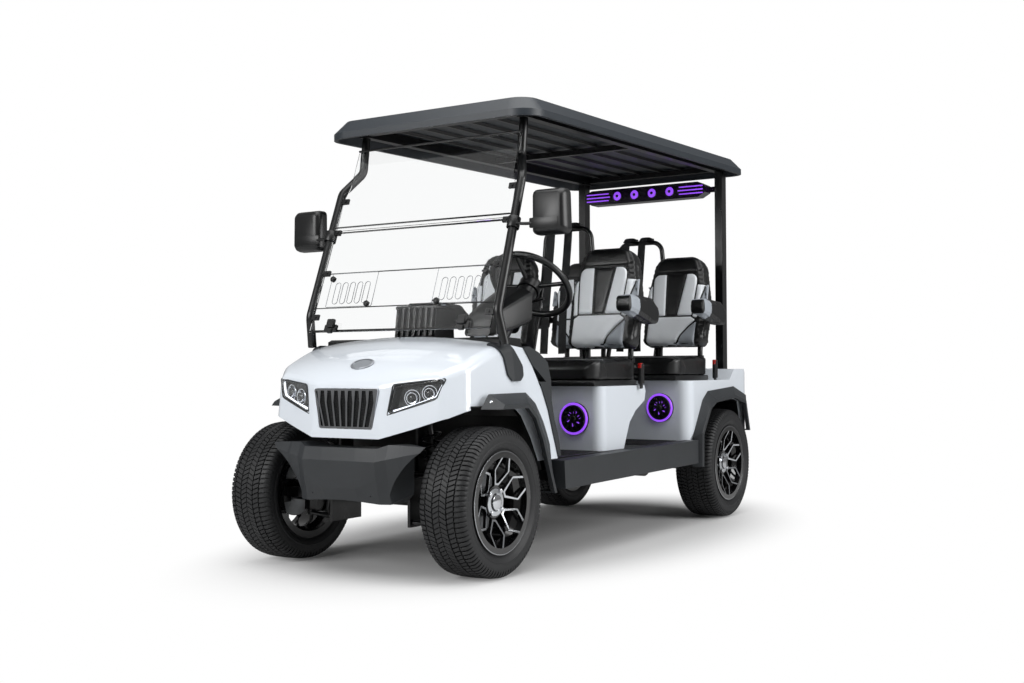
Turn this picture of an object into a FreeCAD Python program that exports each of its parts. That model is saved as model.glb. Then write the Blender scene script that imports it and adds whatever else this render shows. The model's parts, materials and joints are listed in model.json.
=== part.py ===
import FreeCAD, Part
import math
import os

# Four-seat electric golf cart, in millimetres.
# +Z is up, the cart faces -Y, +X is its left (driver's) side.
# The origin is on the ground under the middle of the whole vehicle.

# Wheels and axles
TYRE_DIAMETER = 584.0
TYRE_WIDTH = 209.0
BEAD_DIAMETER = 356.0
FLANGE_DIAMETER = 400.0
RIM_WIDTH = 190.0
RIM_WALL = 5.0
FACE_RECESS = 38.0
SPOKE_DEPTH = 13.0
PETALS = 6
PETAL_PHASE = -8.0
LUGS = 4
LUG_CIRCLE = 101.6
WHEELBASE = 2271.0
TRACK = 970.0
FRONT_AXLE_Y = -1188.0
KINGPIN_OFFSET = 92.0
DISC_DIAMETER = 224.0
SPINDLE_DIAMETER = 50.0
PIN_RADIUS = 8.0
ARM_RISE = 92.0
DAMPER_INSET = 93.0
RUNNING_FIT = 0.05
SEAT_GAP = 0.3

# Rear springs
SPRING_X = 290.0
SPRING_REACH = 285.0

# Frame and floor
RAIL_SPACING = 360.0
RAIL_WIDTH = 50.0
RAIL_HEIGHT = 80.0
RAIL_BOTTOM = 305.0
RAIL_KICK = 112.0
TOWER_Z = 612.0
RAIL_KICK_Y = 800.0
FRAME_SPLIT_Y = 740.0
ARM_PLATE_TOP = 400.0
RAIL_FRONT_Y = -1305.0
RAIL_REAR_Y = 1372.0
FLOOR_TOP = 430.0
FLOOR_FRONT_Y = -790.0
BODY_HALF = 545.0
FLOOR_MARGIN = 30.0
SIDE_LEAN = 0.112
SKIN = 4.0

# Front cowl
NOSE_Y = -1425.0
LIP_Z = 536.0
COWL_REAR_Y = -1040.0
COWL_CROWN = 45.0
COWL_EDGE = 45.0
SHIELD_FRONT = [(-903, 890), (-847, 821), (-787, 717), (-755, 634), (-734, 535), (-712, 440)]
SHIELD_REAR = [(-690, 440), (-695, 523), (-715, 591), (-721, 674), (-711, 758), (-724, 833), (-789, 873),
               (-860, 898)]
STRUT_COVER = [(-1051, 848), (-1037, 781), (-1012, 756), (-957, 756), (-930, 775), (-929, 817), (-961, 857),
               (-1007, 910), (-1092, 910)]
GRILLE_TOP_HALF = 157.0
GRILLE_BOTTOM_HALF = 129.0
GRILLE_TOP_Z = 725.0
GRILLE_BOTTOM_Z = 578.0
GRILLE_BARS = 9

# Front bumper: (x, [(distance behind the nose, height)]) sections of its +X half
BUMPER_SECTIONS = [
    (0, [(100, 499), (-42, 501), (-54, 451), (-46, 345), (-26, 296), (100, 296)]),
    (84, [(100, 499), (-42, 501), (-54, 451), (-46, 345), (-26, 294), (100, 294)]),
    (182, [(100, 500), (-36, 501), (-53, 451), (-42, 381), (-20, 287), (100, 287)]),
    (222, [(98, 514), (-16, 516), (-36, 460), (-22, 386), (-4, 287), (98, 287)]),
    (272, [(80, 514), (-8, 515), (-28, 470), (-10, 392), (8, 325), (80, 322)]),
    (289, [(70, 514), (-4, 514), (-22, 474), (-8, 404), (4, 398), (70, 396)]),
    (384, [(40, 510), (4, 511), (-6, 492), (0, 478), (8, 468), (40, 466)]),
]
BUMPER_GAP = 8.0
BUMPER_BOTTOM = 392.0

# Wheel arches, as (distance behind the axle, height): the openings, and where the flares meet the body
FRONT_ARCH = [(-75, 650), (161, 650), (217, 609), (273, 518), (330, 380), (381, 260)]
FRONT_FLARE_FOOT = [(-75, 707), (272, 709), (348, 666), (408, 600), (458, 535), (480, 260)]
REAR_ARCH = [(-383, 260), (-377, 466), (-279, 592), (-209, 624), (47, 642), (197, 610), (254, 440)]
REAR_FLARE_FOOT = [(-412, 260), (-415, 445), (-280, 640), (-212, 684), (150, 704), (335, 652), (372, 440)]
FLARE_LIP = 20.0
FLARE_STAND = 52.0
FLARE_WALL = 5.0
FLARE_RETURN = 18.0
FLARE_BOTTOM = 298.0

# Tow receiver
RECEIVER_OUTER = 64.0
RECEIVER_BORE = 51.0
RECEIVER_Z = 350.0
HITCH_PIN_RADIUS = 8.0

# Seat boxes
BOX_HALF = 500.0
FRONT_BOX_Y = -235.0
FRONT_BOX_TOP = 724.0
REAR_BOX_Y = 640.0
REAR_BOX_TOP = 741.0
REAR_DECK_Z = 800.0
DECK_PAD_HALF = 380.0
DECK_PAD_RISE = 3.0
BODY_BOTTOM = 461.0
TAIL_Y = 1472.0
SPEAKER_DIAMETER = 150.0
FRONT_SPEAKER_X = 360.0
FRONT_SPEAKER_Z = 575.0
REAR_SPEAKER_X = 380.0
REAR_SPEAKER_Z = 600.0

# Seats
CUSHION_THICK = 124.0
CUSHION_DEPTH = 450.0
BACK_LEAN = 14.0
BACK_HEIGHT = 530.0
BACK_THICK = 95.0
FRONT_BACK_Y = 105.0
FRONT_BACK_Z = 905.0
SEAT_ROW_STEP_Y = 845.0
SEAT_ROW_STEP_Z = 20.0
HOOP_HALF = 150.0
HOOP_TOP = 1540.0
HOOP_RADIUS = 13.0
SEAT_TUBE = 14.0
SEAT_TUBE_INNER_X = 180.0
SEAT_TUBE_OUTER_X = 420.0
ARM_PLATE_X = 501.0
ARM_PIN_BACK = 50.0
ARM_PIN_RISE = 165.0

# Roof and struts
STRUT_RADIUS = 19.0
PANE_THICK = 5.0
PANE_LOW_X = -73.1
PANE_TOP_X = -109.0
ROOF_RAIL_X = 425.0
ROOF_HALF = 560.0
ROOF_FRONT_Y = -925.0
ROOF_REAR_Y = 1410.0
ROOF_EDGE_Z = 1845.0
ROOF_RISE = 55.0
ROOF_DEPTH = 85.0
REAR_STRUT_X = 440.0
REAR_STRUT_Y = 1320.0

# Steering
STEER_LOCK = 30.5
STEER_X = 250.0
STEER_Y = -437.0
STEER_Z = 1184.0
STEER_TILT = 44.0
STEER_RING = 184.0
STEER_GRIP = 15.0
SHAFT_RADIUS = 11.0
RACK_BACK = 112.0
RACK_DROP = 26.0
RACK_RADIUS = 10.0

AXLE_Z = TYRE_DIAMETER / 2
WHEEL_X = TRACK / 2
KINGPIN_X = WHEEL_X - KINGPIN_OFFSET
FLOOR_HALF = BODY_HALF - FLOOR_MARGIN
FLARE_OUT_X = BODY_HALF + FLARE_STAND
REAR_AXLE_Y = FRONT_AXLE_Y + WHEELBASE
RAIL_TOP = RAIL_BOTTOM + RAIL_HEIGHT
RAIL_X = RAIL_SPACING / 2


def vec(x, y, z):
    return FreeCAD.Vector(x, y, z)


def box(x0, x1, y0, y1, z0, z1):
    """Block between two corners."""
    return Part.makeBox(x1 - x0, y1 - y0, z1 - z0, vec(x0, y0, z0))


def rod(start, end, radius):
    """Round bar between two points."""
    axis = end.sub(start)
    return Part.makeCylinder(radius, axis.Length, start, axis)


def disc(x0, x1, y, z, radius):
    """Round block along X."""
    return rod(vec(x0, y, z), vec(x1, y, z), radius)


def ring(x0, x1, y, z, outer, inner):
    """Round block along X with a hole."""
    return disc(x0, x1, y, z, outer).cut(disc(x0 - 1, x1 + 1, y, z, inner))


def rounded_wire(points, radii):
    """Closed wire through 3-D points, each corner rounded by its radius (0 keeps it sharp)."""
    edges = []
    starts = []
    ends = []
    count = len(points)
    for i, here in enumerate(points):
        before = points[i - 1].sub(here)
        after = points[(i + 1) % count].sub(here)
        radius = radii[i] if isinstance(radii, (list, tuple)) else radii
        if radius <= 0:
            starts.append(here)
            ends.append(here)
            edges.append(None)
            continue
        a = before.normalize()
        b = after.normalize()
        half = a.getAngle(b) / 2
        reach = radius / math.tan(half)
        centre_way = a.add(b).normalize()
        centre = here.add(centre_way * (radius / math.sin(half)))
        first = here.add(a * reach)
        last = here.add(b * reach)
        middle = centre.sub(centre_way * radius)
        starts.append(first)
        ends.append(last)
        edges.append(Part.Arc(first, middle, last).toShape())
    wire = []
    for i in range(count):
        if edges[i]:
            wire.append(edges[i])
        nxt = (i + 1) % count
        if ends[i].distanceToPoint(starts[nxt]) > 1e-6:
            wire.append(Part.makeLine(ends[i], starts[nxt]))
    return Part.Wire(wire)


def side_prism(outline, x0, x1, radii=0):
    """Solid of a (y, z) outline pushed from x0 to x1."""
    wire = rounded_wire([vec(x0, y, z) for y, z in outline], radii)
    return Part.Face(wire).extrude(vec(x1 - x0, 0, 0))


def front_prism(outline, y0, y1, radii=0):
    """Solid of an (x, z) outline pushed from y0 to y1."""
    wire = rounded_wire([vec(x, y0, z) for x, z in outline], radii)
    return Part.Face(wire).extrude(vec(0, y1 - y0, 0))


def plan_prism(outline, z0, z1, radii=0):
    """Solid of an (x, y) outline pushed from z0 to z1."""
    wire = rounded_wire([vec(x, y, z0) for x, y in outline], radii)
    return Part.Face(wire).extrude(vec(0, 0, z1 - z0))


def offset_path(path, distance):
    """Open path of (y, z) points moved to its left by a distance, with mitred corners."""
    moved = []
    for i, (y, z) in enumerate(path):
        normals = []
        for a, b in ((i - 1, i), (i, i + 1)):
            if a >= 0 and b < len(path):
                run = math.hypot(path[b][0] - path[a][0], path[b][1] - path[a][1])
                normals.append(((path[a][1] - path[b][1]) / run, (path[b][0] - path[a][0]) / run))
        ny = sum(n[0] for n in normals)
        nz = sum(n[1] for n in normals)
        reach = distance * len(normals) / (ny * ny + nz * nz)
        moved.append((y + ny * reach, z + nz * reach))
    return moved


def symmetric(half):
    """Full outline from the points of its +X half, listed from one end to the other."""
    return half + [(-x, v) for x, v in reversed(half)]


def mirrored(shape):
    return shape.mirror(vec(0, 0, 0), vec(1, 0, 0))


def pair(shape):
    """A piece and its mirror image, as two solids."""
    return Part.makeCompound([shape, mirrored(shape)])


def fused(shapes):
    """One solid of several that overlap or touch."""
    whole = shapes[0]
    for shape in shapes[1:]:
        whole = whole.fuse(shape)
    return whole.removeSplitter()


def bent_tube(points, radius, bend):
    """Round tube along straight runs joined by tangent arcs."""
    edges = []
    last = points[0]
    for i in range(1, len(points) - 1):
        here = points[i]
        a = points[i - 1].sub(here).normalize()
        b = points[i + 1].sub(here).normalize()
        half = a.getAngle(b) / 2
        reach = bend / math.tan(half)
        way = a.add(b).normalize()
        middle = here.add(way * (bend / math.sin(half) - bend))
        first = here.add(a * reach)
        second = here.add(b * reach)
        edges.append(Part.makeLine(last, first))
        edges.append(Part.Arc(first, middle, second).toShape())
        last = second
    edges.append(Part.makeLine(last, points[-1]))
    path = Part.Wire(edges)
    start = Part.Wire(Part.makeCircle(radius, points[0], points[1].sub(points[0])))
    return path.makePipeShell([start], True, False)


def revolve_about_x(profile, centre):
    """Solid of an (x, r) profile turned about the X axis through a centre."""
    points = [vec(x, 0, r) for x, r in profile]
    face = Part.Face(Part.makePolygon(points + points[:1]))
    solid = face.revolve(vec(0, 0, 0), vec(1, 0, 0), 360)
    solid.translate(centre)
    return solid


# Wheels

def tyre(side, axle_y):
    """Hollow tyre, open to the rim between its beads."""
    half = TYRE_WIDTH / 2
    crown = TYRE_DIAMETER / 2
    bead = BEAD_DIAMETER / 2 + SEAT_GAP
    seat = RIM_WIDTH / 2 - RIM_WALL - SEAT_GAP
    rim_edge = FLANGE_DIAMETER / 2
    wall = 11.0
    outer = [(seat, bead), (seat, rim_edge + 2), (half - 3, rim_edge + 22), (half, crown - 42),
             (half - 5, crown - 20), (half - 17, crown - 6), (half - 42, crown - 1.5), (0, crown)]
    inner = [(half - 40, crown - wall - 3), (half - 18, crown - 30), (half - wall, rim_edge + 30),
             (seat - wall, bead)]
    profile = outer + [(-x, r) for x, r in reversed(outer[:-1])]
    profile += [(-x, r) for x, r in reversed(inner)] + inner
    shape = revolve_about_x(profile, vec(0, 0, 0))
    shape.translate(vec(side * WHEEL_X, axle_y, AXLE_Z))
    return shape


def petal(points, turn, x0, x1):
    """Six-sided prism along a spoke direction, from (r, half width) points."""
    outline = [(t, r) for r, t in points] + [(-t, r) for r, t in reversed(points)]
    solid = side_prism(outline, x0, x1)
    solid.rotate(vec(0, 0, 0), vec(1, 0, 0), turn)
    return solid


def rim(side, axle_y, phase):
    """Cast rim: barrel, dished face with petal spokes, hub and blank cap."""
    half = RIM_WIDTH / 2
    flange = FLANGE_DIAMETER / 2
    seat = BEAD_DIAMETER / 2
    drop = seat - 18
    outer = [(half, flange), (half - RIM_WALL, flange), (half - RIM_WALL, seat), (half - 30, seat),
             (half - 50, drop), (-half + 50, drop), (-half + 30, seat), (-half + RIM_WALL, seat),
             (-half + RIM_WALL, flange), (-half, flange)]
    inner = [(-half, seat - RIM_WALL), (-half + 30, seat - RIM_WALL), (-half + 50, drop - RIM_WALL),
             (half - 50, drop - RIM_WALL), (half - 30, seat - RIM_WALL), (half, seat - RIM_WALL)]
    barrel = revolve_about_x(outer + inner, vec(0, 0, 0))
    hub_r = 60.0
    lip = half - 1
    hub_x = lip - FACE_RECESS
    dish_profile = [(hub_x, 0), (hub_x, hub_r), (lip, seat - 1), (lip - SPOKE_DEPTH, seat - 1),
                    (hub_x - SPOKE_DEPTH, hub_r), (hub_x - SPOKE_DEPTH, 0)]
    dish = revolve_about_x(dish_profile, vec(0, 0, 0))
    rib = 8.0
    outline = [(45, 13), (66, 13), (122, 52), (seat + 4, 27)]
    window = [(62 + rib + 4, 7), (122, 52 - rib - 1), (seat - 3, 27 - rib)]
    petals = []
    windows = []
    for i in range(PETALS):
        turn = phase + i * 360 / PETALS
        petals.append(petal(outline, turn, 0, half + 10))
        windows.append(petal(window, turn, -10, half + 20))
    gaps = ring(-10, half + 20, 0, 0, seat - RIM_WALL, hub_r + 2)
    gaps = gaps.cut(Part.makeCompound(petals))
    face = dish.cut(gaps).cut(Part.makeCompound(windows))
    hub = disc(hub_x - 34, hub_x + 3, 0, 0, hub_r - 4)
    cap = revolve_about_x([(hub_x, 0), (hub_x, 34), (hub_x + 9, 31), (hub_x + 12, 26), (hub_x + 12, 0)],
                          vec(0, 0, 0))
    shape = fused([barrel, face, hub, cap])
    bore = disc(hub_x - 60, hub_x - 10, 0, 0, SPINDLE_DIAMETER / 2 + RUNNING_FIT)
    shape = shape.cut(bore)
    for i in range(LUGS):
        turn = math.radians(phase + 45 + i * 360 / LUGS)
        y = LUG_CIRCLE / 2 * math.sin(turn)
        z = LUG_CIRCLE / 2 * math.cos(turn)
        shape = shape.cut(disc(hub_x - 8, hub_x + 20, y, z, 10))
    if side < 0:
        shape = mirrored(shape)
    shape.translate(vec(side * WHEEL_X, axle_y, AXLE_Z))
    return shape


def hub_back_x():
    """Inner end of the rim's hub, from the wheel's middle plane."""
    return RIM_WIDTH / 2 - 1 - FACE_RECESS - 34


def front_hub(side):
    """Wheel hub with the brake disc, behind the rim."""
    back = hub_back_x() - SEAT_GAP
    spindle = SPINDLE_DIAMETER / 2 + RUNNING_FIT
    flange = ring(back - 10, back, 0, 0, 58, spindle)
    hat = ring(back - 34, back - 10, 0, 0, 50, spindle)
    brake = ring(back - 30, back - 23, 0, 0, DISC_DIAMETER / 2, 45)
    shape = fused([flange, hat, brake])
    if side < 0:
        shape = mirrored(shape)
    shape.translate(vec(side * WHEEL_X, FRONT_AXLE_Y, AXLE_Z))
    return shape


def knuckle(side):
    """Steering knuckle with spindle, brake caliper and steering arm."""
    wheel = WHEEL_X
    tip = wheel + RIM_WIDTH / 2 - 1 - FACE_RECESS - 12
    y = FRONT_AXLE_Y
    back = wheel + hub_back_x() - SEAT_GAP - 34
    spindle = disc(KINGPIN_X, tip, y, AXLE_Z, SPINDLE_DIAMETER / 2)
    collar = disc(KINGPIN_X - 14, back - 1, y, AXLE_Z, 42)
    upright = box(KINGPIN_X - 14, KINGPIN_X + 14, y - 24, y + 24, AXLE_Z - 78, AXLE_Z + 78)
    pin = Part.makeCylinder(PIN_RADIUS, 2 * ARM_RISE + 12, vec(KINGPIN_X, y, AXLE_Z - ARM_RISE - 6))
    arm = box(KINGPIN_X - 32, KINGPIN_X - 4, y, y + RACK_BACK + 14, AXLE_Z - 6, AXLE_Z + 8)
    disc_x = wheel + hub_back_x() - SEAT_GAP - 26.5
    caliper = box(disc_x - 30, disc_x + 24, y - 122, y - 62, AXLE_Z - 45, AXLE_Z + 45)
    slot = ring(disc_x - 6, disc_x + 6, y, AXLE_Z, DISC_DIAMETER / 2 + 3, 20)
    bracket = box(KINGPIN_X - 10, disc_x - 18, y - 90, y - 10, AXLE_Z - 20, AXLE_Z + 20)
    shape = fused([spindle, collar, upright, pin, arm, caliper.cut(slot), bracket])
    return shape if side > 0 else mirrored(shape)


def front_suspension():
    """Lower and upper wishbones and coil dampers, on brackets of the frame."""
    y = FRONT_AXLE_Y
    inner = RAIL_X + RAIL_WIDTH / 2 + SEAT_GAP
    parts = []
    for z, spread in ((AXLE_Z - ARM_RISE, 76), (AXLE_Z + ARM_RISE, 64)):
        ball = Part.makeCylinder(17, 20, vec(KINGPIN_X, y, z - 10))
        bore = Part.makeCylinder(PIN_RADIUS + RUNNING_FIT, 60, vec(KINGPIN_X, y, z - 30))
        legs = [bent_tube([vec(inner, y + s * spread, z), vec(inner + 20, y + s * spread, z),
                           vec(KINGPIN_X - 6, y + s * 4, z)], 9, 15) for s in (-1, 1)]
        parts.append(fused([ball] + legs).cut(bore))
    foot_x = KINGPIN_X - DAMPER_INSET
    low = vec(foot_x, y, AXLE_Z - ARM_RISE)
    top = vec(inner + 24, y, TOWER_Z - 4)
    way = top.sub(low).normalize()
    strut = fused([rod(low, top, 11), rod(low.add(way * 70), low.add(way * 300), 30)])
    parts[0] = fused([parts[0], rod(vec(foot_x, y - 40, low.z), vec(foot_x, y + 40, low.z), 9)])
    strut = strut.cut(parts[0])
    upper = parts[1].cut(rod(low, top, 36))
    return [parts[0], upper, strut]


# Frame and floor

def frame_rail():
    """Left rail of the ladder frame over its whole length, rising over the rear axle."""
    y0, y1 = RAIL_FRONT_Y, RAIL_REAR_Y
    kick = [(y0, RAIL_BOTTOM), (RAIL_KICK_Y, RAIL_BOTTOM), (RAIL_KICK_Y + 95, RAIL_BOTTOM + RAIL_KICK),
            (y1, RAIL_BOTTOM + RAIL_KICK), (y1, RAIL_TOP + RAIL_KICK),
            (RAIL_KICK_Y + 85, RAIL_TOP + RAIL_KICK), (RAIL_KICK_Y - 10, RAIL_TOP), (y0, RAIL_TOP)]
    return side_prism(kick, RAIL_X - RAIL_WIDTH / 2, RAIL_X + RAIL_WIDTH / 2)


def frame():
    """Ladder frame up to the rear axle: rails, cross members, outriggers and front arm plates."""
    rail = frame_rail().common(box(0, 600, RAIL_FRONT_Y, FRAME_SPLIT_Y, 0, 900))
    pieces = [rail, mirrored(rail)]
    for y in (RAIL_FRONT_Y + 25, FRONT_AXLE_Y + RACK_BACK, FLOOR_FRONT_Y + 60, -100, 560):
        pieces.append(box(-RAIL_X, RAIL_X, y - 25, y + 25, RAIL_BOTTOM + 10, RAIL_TOP - 10))
    for y in (FLOOR_FRONT_Y + 60, -100, 560):
        pieces.append(box(-FLOOR_HALF, FLOOR_HALF, y - 20, y + 20, RAIL_TOP - 45, RAIL_TOP))
    outer = RAIL_X + RAIL_WIDTH / 2
    y = FRONT_AXLE_Y
    side = box(outer - 12, outer, y - 95, y + 90, AXLE_Z - 110, ARM_PLATE_TOP)
    return fused(pieces + [side, mirrored(side)])


def damper_towers():
    """Brackets on the frame's arm plates that carry the tops of the front dampers."""
    outer = RAIL_X + RAIL_WIDTH / 2
    y = FRONT_AXLE_Y
    tower = fused([box(outer - 12, outer, y - 40, y + 40, ARM_PLATE_TOP + SEAT_GAP, TOWER_Z + 14),
                   box(outer - 12, outer + 48, y - 40, y + 40, TOWER_Z, TOWER_Z + 14)])
    return pair(tower)


def rear_subframe():
    """Rear part of the frame: raised rails, spring hangers and the tow receiver."""
    rail = frame_rail().common(box(0, 600, FRAME_SPLIT_Y + SEAT_GAP, RAIL_REAR_Y, 0, 900))
    pieces = [rail, mirrored(rail)]
    front_eye, rear_eye = REAR_AXLE_Y - SPRING_REACH, REAR_AXLE_Y + SPRING_REACH
    pieces.append(box(-SPRING_X - 25, SPRING_X + 25, front_eye - 30, front_eye, 325, 365))
    pieces.append(box(-SPRING_X - 25, SPRING_X + 25, rear_eye - 90, rear_eye - 50, 425, 470))
    tie_y = RAIL_KICK_Y + 130
    pieces.append(box(-RAIL_X, RAIL_X, tie_y, tie_y + 40, 430, 480))
    half = RECEIVER_OUTER / 2
    bore = RECEIVER_BORE / 2
    tube = box(-half, half, rear_eye - 100, TAIL_Y - 2, RECEIVER_Z - half, RECEIVER_Z + half)
    hanger = box(-half, half, rear_eye - 90, rear_eye - 50, RECEIVER_Z, 430)
    tube = fused([tube, hanger])
    tube = tube.cut(box(-bore, bore, rear_eye - 110, TAIL_Y, RECEIVER_Z - bore, RECEIVER_Z + bore))
    tube = tube.cut(disc(-half - 5, half + 5, TAIL_Y - 64, RECEIVER_Z, HITCH_PIN_RADIUS))
    return fused(pieces + [tube])


def floor_tray():
    """Floor pan with toe board and a lip over the sills."""
    outline = [(FLOOR_FRONT_Y, RAIL_TOP), (REAR_BOX_Y + 80, RAIL_TOP), (REAR_BOX_Y + 80, FLOOR_TOP),
               (FLOOR_FRONT_Y + 20, FLOOR_TOP), (FLOOR_FRONT_Y - 100, 640), (FLOOR_FRONT_Y - 108, 636)]
    return side_prism(outline, -FLOOR_HALF, FLOOR_HALF)


def sills():
    """Step sills under the door openings."""
    outline = [(FLOOR_FRONT_Y, 303), (REAR_BOX_Y + 20, 318), (REAR_BOX_Y + 20, FLOOR_TOP + 6),
               (FLOOR_FRONT_Y - 20, FLOOR_TOP - 8)]
    body = side_prism(outline, FLOOR_HALF, FLARE_OUT_X - 14)
    foot = [(FRONT_AXLE_Y + back, z) for back, z in offset_path(FRONT_FLARE_FOOT, SEAT_GAP)]
    body = body.cut(side_prism(foot + [(foot[-1][0], 150), (foot[0][0], 150)], 400, 700))
    body = body.cut(box(0, BODY_HALF, REAR_BOX_Y - SEAT_GAP, REAR_BOX_Y + 50, FLOOR_TOP - SEAT_GAP, 700))
    foot = [(REAR_AXLE_Y + back, z) for back, z in offset_path(REAR_FLARE_FOOT, SEAT_GAP)]
    body = body.cut(side_prism(foot + [(foot[-1][0], 150), (foot[0][0], 150)], 400, 700))
    return pair(body)


# Front cowl

def side_half(z):
    """Half width of the cowl's side at a height, leaning in towards the top."""
    return BODY_HALF - SIDE_LEAN * (z - FLOOR_TOP)


def cowl_plan(z, inset):
    """Half plan outline of the cowl at a height, from the nose back."""
    lean = (z - 650.0) / 180.0
    nose = NOSE_Y + inset + 15 * lean
    side = side_half(z) - inset
    return [(170, nose), (BODY_HALF - 127 - 8 * lean, nose + 65), (BODY_HALF - 65 - 10 * lean - inset, nose + 145),
            (side, -1000), (side, -680)]


def cowl_block(inset):
    """Closed block of the cowl's outer form, moved inward by an inset; its upper edge is rounded."""
    sections = []
    for z in (430.0, 1010.0):
        half = cowl_plan(z, inset)
        full = symmetric(half)
        radii = [60, 50, 60, 120, 0, 0, 120, 60, 50, 60]
        sections.append(rounded_wire([vec(x, y, z) for x, y in full], radii))
    sides = Part.makeLoft(sections, True, True)
    stations = ((NOSE_Y - 30, 700), (NOSE_Y + 10, 752), (NOSE_Y + 95, 822), (NOSE_Y + 220, 884),
                (COWL_REAR_Y, 940), (COWL_REAR_Y + 120, 955), (COWL_REAR_Y + 350, 965))
    wires = []
    for y, z in stations:
        crown = z - inset
        left = vec(-620, y, crown - COWL_CROWN * 1.4)
        right = vec(620, y, crown - COWL_CROWN * 1.4)
        arc = Part.Arc(left, vec(0, y, crown), right).toShape()
        base = [Part.makeLine(right, vec(620, y, 420)), Part.makeLine(vec(620, y, 420), vec(-620, y, 420)),
                Part.makeLine(vec(-620, y, 420), left)]
        wires.append(Part.Wire([arc] + base))
    block = sides.common(Part.makeLoft(wires, True, False))
    if inset > COWL_EDGE / 2:
        return block
    rear = block.BoundBox.YMax
    crest = [edge for edge in block.Edges
             if edge.BoundBox.ZMin > LIP_Z + 100 and edge.BoundBox.YMin < rear - 1]
    return block.makeFillet(COWL_EDGE - inset, crest)


def arch_opening(arch, axle_y, grow):
    """Closed (y, z) outline of a wheel arch's opening, grown by a distance."""
    path = [(axle_y + back, z) for back, z in offset_path(arch, grow)]
    first, last = path[0], path[-1]
    return path + [(last[0], 150), (first[0], 150)]


def flare(arch, foot, axle_y, foot_x, bottom):
    """Hollow arch flare of the +X side: it slopes out from its foot on the body to an upright lip."""
    shapes = []
    for wall in (0, FLARE_WALL):
        rings = []
        for path, grow, x in ((foot, -wall, foot_x - wall), (arch, FLARE_LIP - wall, FLARE_OUT_X - 4 - wall),
                              (arch, FLARE_LIP - 3 - wall, FLARE_OUT_X - wall)):
            ring_points = [vec(x, axle_y + back, z) for back, z in offset_path(path, grow)]
            first, last = ring_points[0], ring_points[-1]
            ring_points += [vec(x, last.y, 150), vec(x, first.y, 150)]
            rings.append(Part.makePolygon(ring_points + ring_points[:1]))
        lofts = [Part.makeLoft(rings[:2], True, True), Part.makeLoft(rings[1:], True, True)]
        deep = FLARE_OUT_X - FLARE_RETURN if wall else foot_x - 20
        reach = side_prism(arch_opening(arch, axle_y, wall), deep, FLARE_OUT_X + 10)
        band = fused(lofts).cut(reach)
        shapes.append(band.common(box(foot_x - 20, FLARE_OUT_X, axle_y - 600, axle_y + 600, bottom + wall, 900)))
    return shapes


def front_cowl():
    """White bonnet and nose panel, a thin shell open below and behind."""
    shell = cowl_block(0).cut(cowl_block(SKIN))
    below = symmetric([(170, LIP_Z), (303, 575), (BODY_HALF - 112, 617), (BODY_HALF - 56, 650), (700, 650),
                       (700, 200)])
    shell = shell.cut(front_prism(below, NOSE_Y - 100, FRONT_AXLE_Y - 20))
    arch = side_prism(arch_opening(FRONT_ARCH, FRONT_AXLE_Y, 12), -700, 700)
    shell = shell.cut(arch)
    rear = side_prism([(COWL_REAR_Y, 1100), (COWL_REAR_Y, 908)] + SHIELD_FRONT
                      + [(SHIELD_FRONT[-1][0], 200), (-300, 200), (-300, 1100)], -700, 700)
    shell = shell.cut(rear)
    grille_hole = front_prism(symmetric([(GRILLE_BOTTOM_HALF + 6, GRILLE_BOTTOM_Z - 6),
                                         (GRILLE_TOP_HALF + 6, GRILLE_TOP_Z + 6)]),
                              NOSE_Y - 60, NOSE_Y + 60, 10)
    shell = shell.cut(grille_hole)
    lamp = headlamp_cutter(0)
    return shell.cut(lamp).cut(mirrored(lamp))


def headlamp_outline(grow):
    """Headlamp outline in front view."""
    outer = BODY_HALF - 123 + grow
    return [(198 - grow, 628 - grow), (220 - grow, 746 + grow), (outer, 769 + grow), (outer - 26, 692 - grow)]


def headlamp_cutter(grow):
    """Prism of the headlamp outline through the nose."""
    return front_prism(headlamp_outline(grow), NOSE_Y - 60, FRONT_AXLE_Y, 12)


def headlamps():
    """Lamp bowls behind the lenses, with two projector barrels and a light strip each."""
    tub = cowl_block(SKIN + 1).cut(cowl_block(60)).common(headlamp_cutter(-1))
    hollow = cowl_block(SKIN).cut(cowl_block(50)).common(headlamp_cutter(-7))
    return pair(tub.cut(hollow))


def headlamp_lenses():
    """Clear covers flush with the nose."""
    block = cowl_block(1).cut(cowl_block(SKIN + 1))
    return pair(block.common(headlamp_cutter(-1)))


def grille():
    """Chrome frame, nine upright bars and a dark panel behind them."""
    y = NOSE_Y
    frame_out = front_prism(symmetric([(GRILLE_BOTTOM_HALF + 5, GRILLE_BOTTOM_Z - 5),
                                       (GRILLE_TOP_HALF + 5, GRILLE_TOP_Z + 5)]), y - 4, y + 14, 9)
    frame_in = front_prism(symmetric([(GRILLE_BOTTOM_HALF - 3, GRILLE_BOTTOM_Z + 3),
                                      (GRILLE_TOP_HALF - 3, GRILLE_TOP_Z - 3)]), y - 10, y + 20, 5)
    panel = front_prism(symmetric([(GRILLE_BOTTOM_HALF, GRILLE_BOTTOM_Z),
                                   (GRILLE_TOP_HALF, GRILLE_TOP_Z)]), y + 14, y + 20, 5)
    pieces = [frame_out.cut(frame_in), panel]
    for i in range(GRILLE_BARS):
        share = (i - (GRILLE_BARS - 1) / 2) / ((GRILLE_BARS - 1) / 2)
        low = share * (GRILLE_BOTTOM_HALF - 14)
        high = share * (GRILLE_TOP_HALF - 16)
        bar = [(low - 4, GRILLE_BOTTOM_Z), (low + 4, GRILLE_BOTTOM_Z), (high + 4, GRILLE_TOP_Z - 50),
               (high + 9, GRILLE_TOP_Z), (high - 9, GRILLE_TOP_Z), (high - 4, GRILLE_TOP_Z - 50)]
        pieces.append(front_prism(bar, y + 1, y + 15))
    return fused(pieces)


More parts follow.
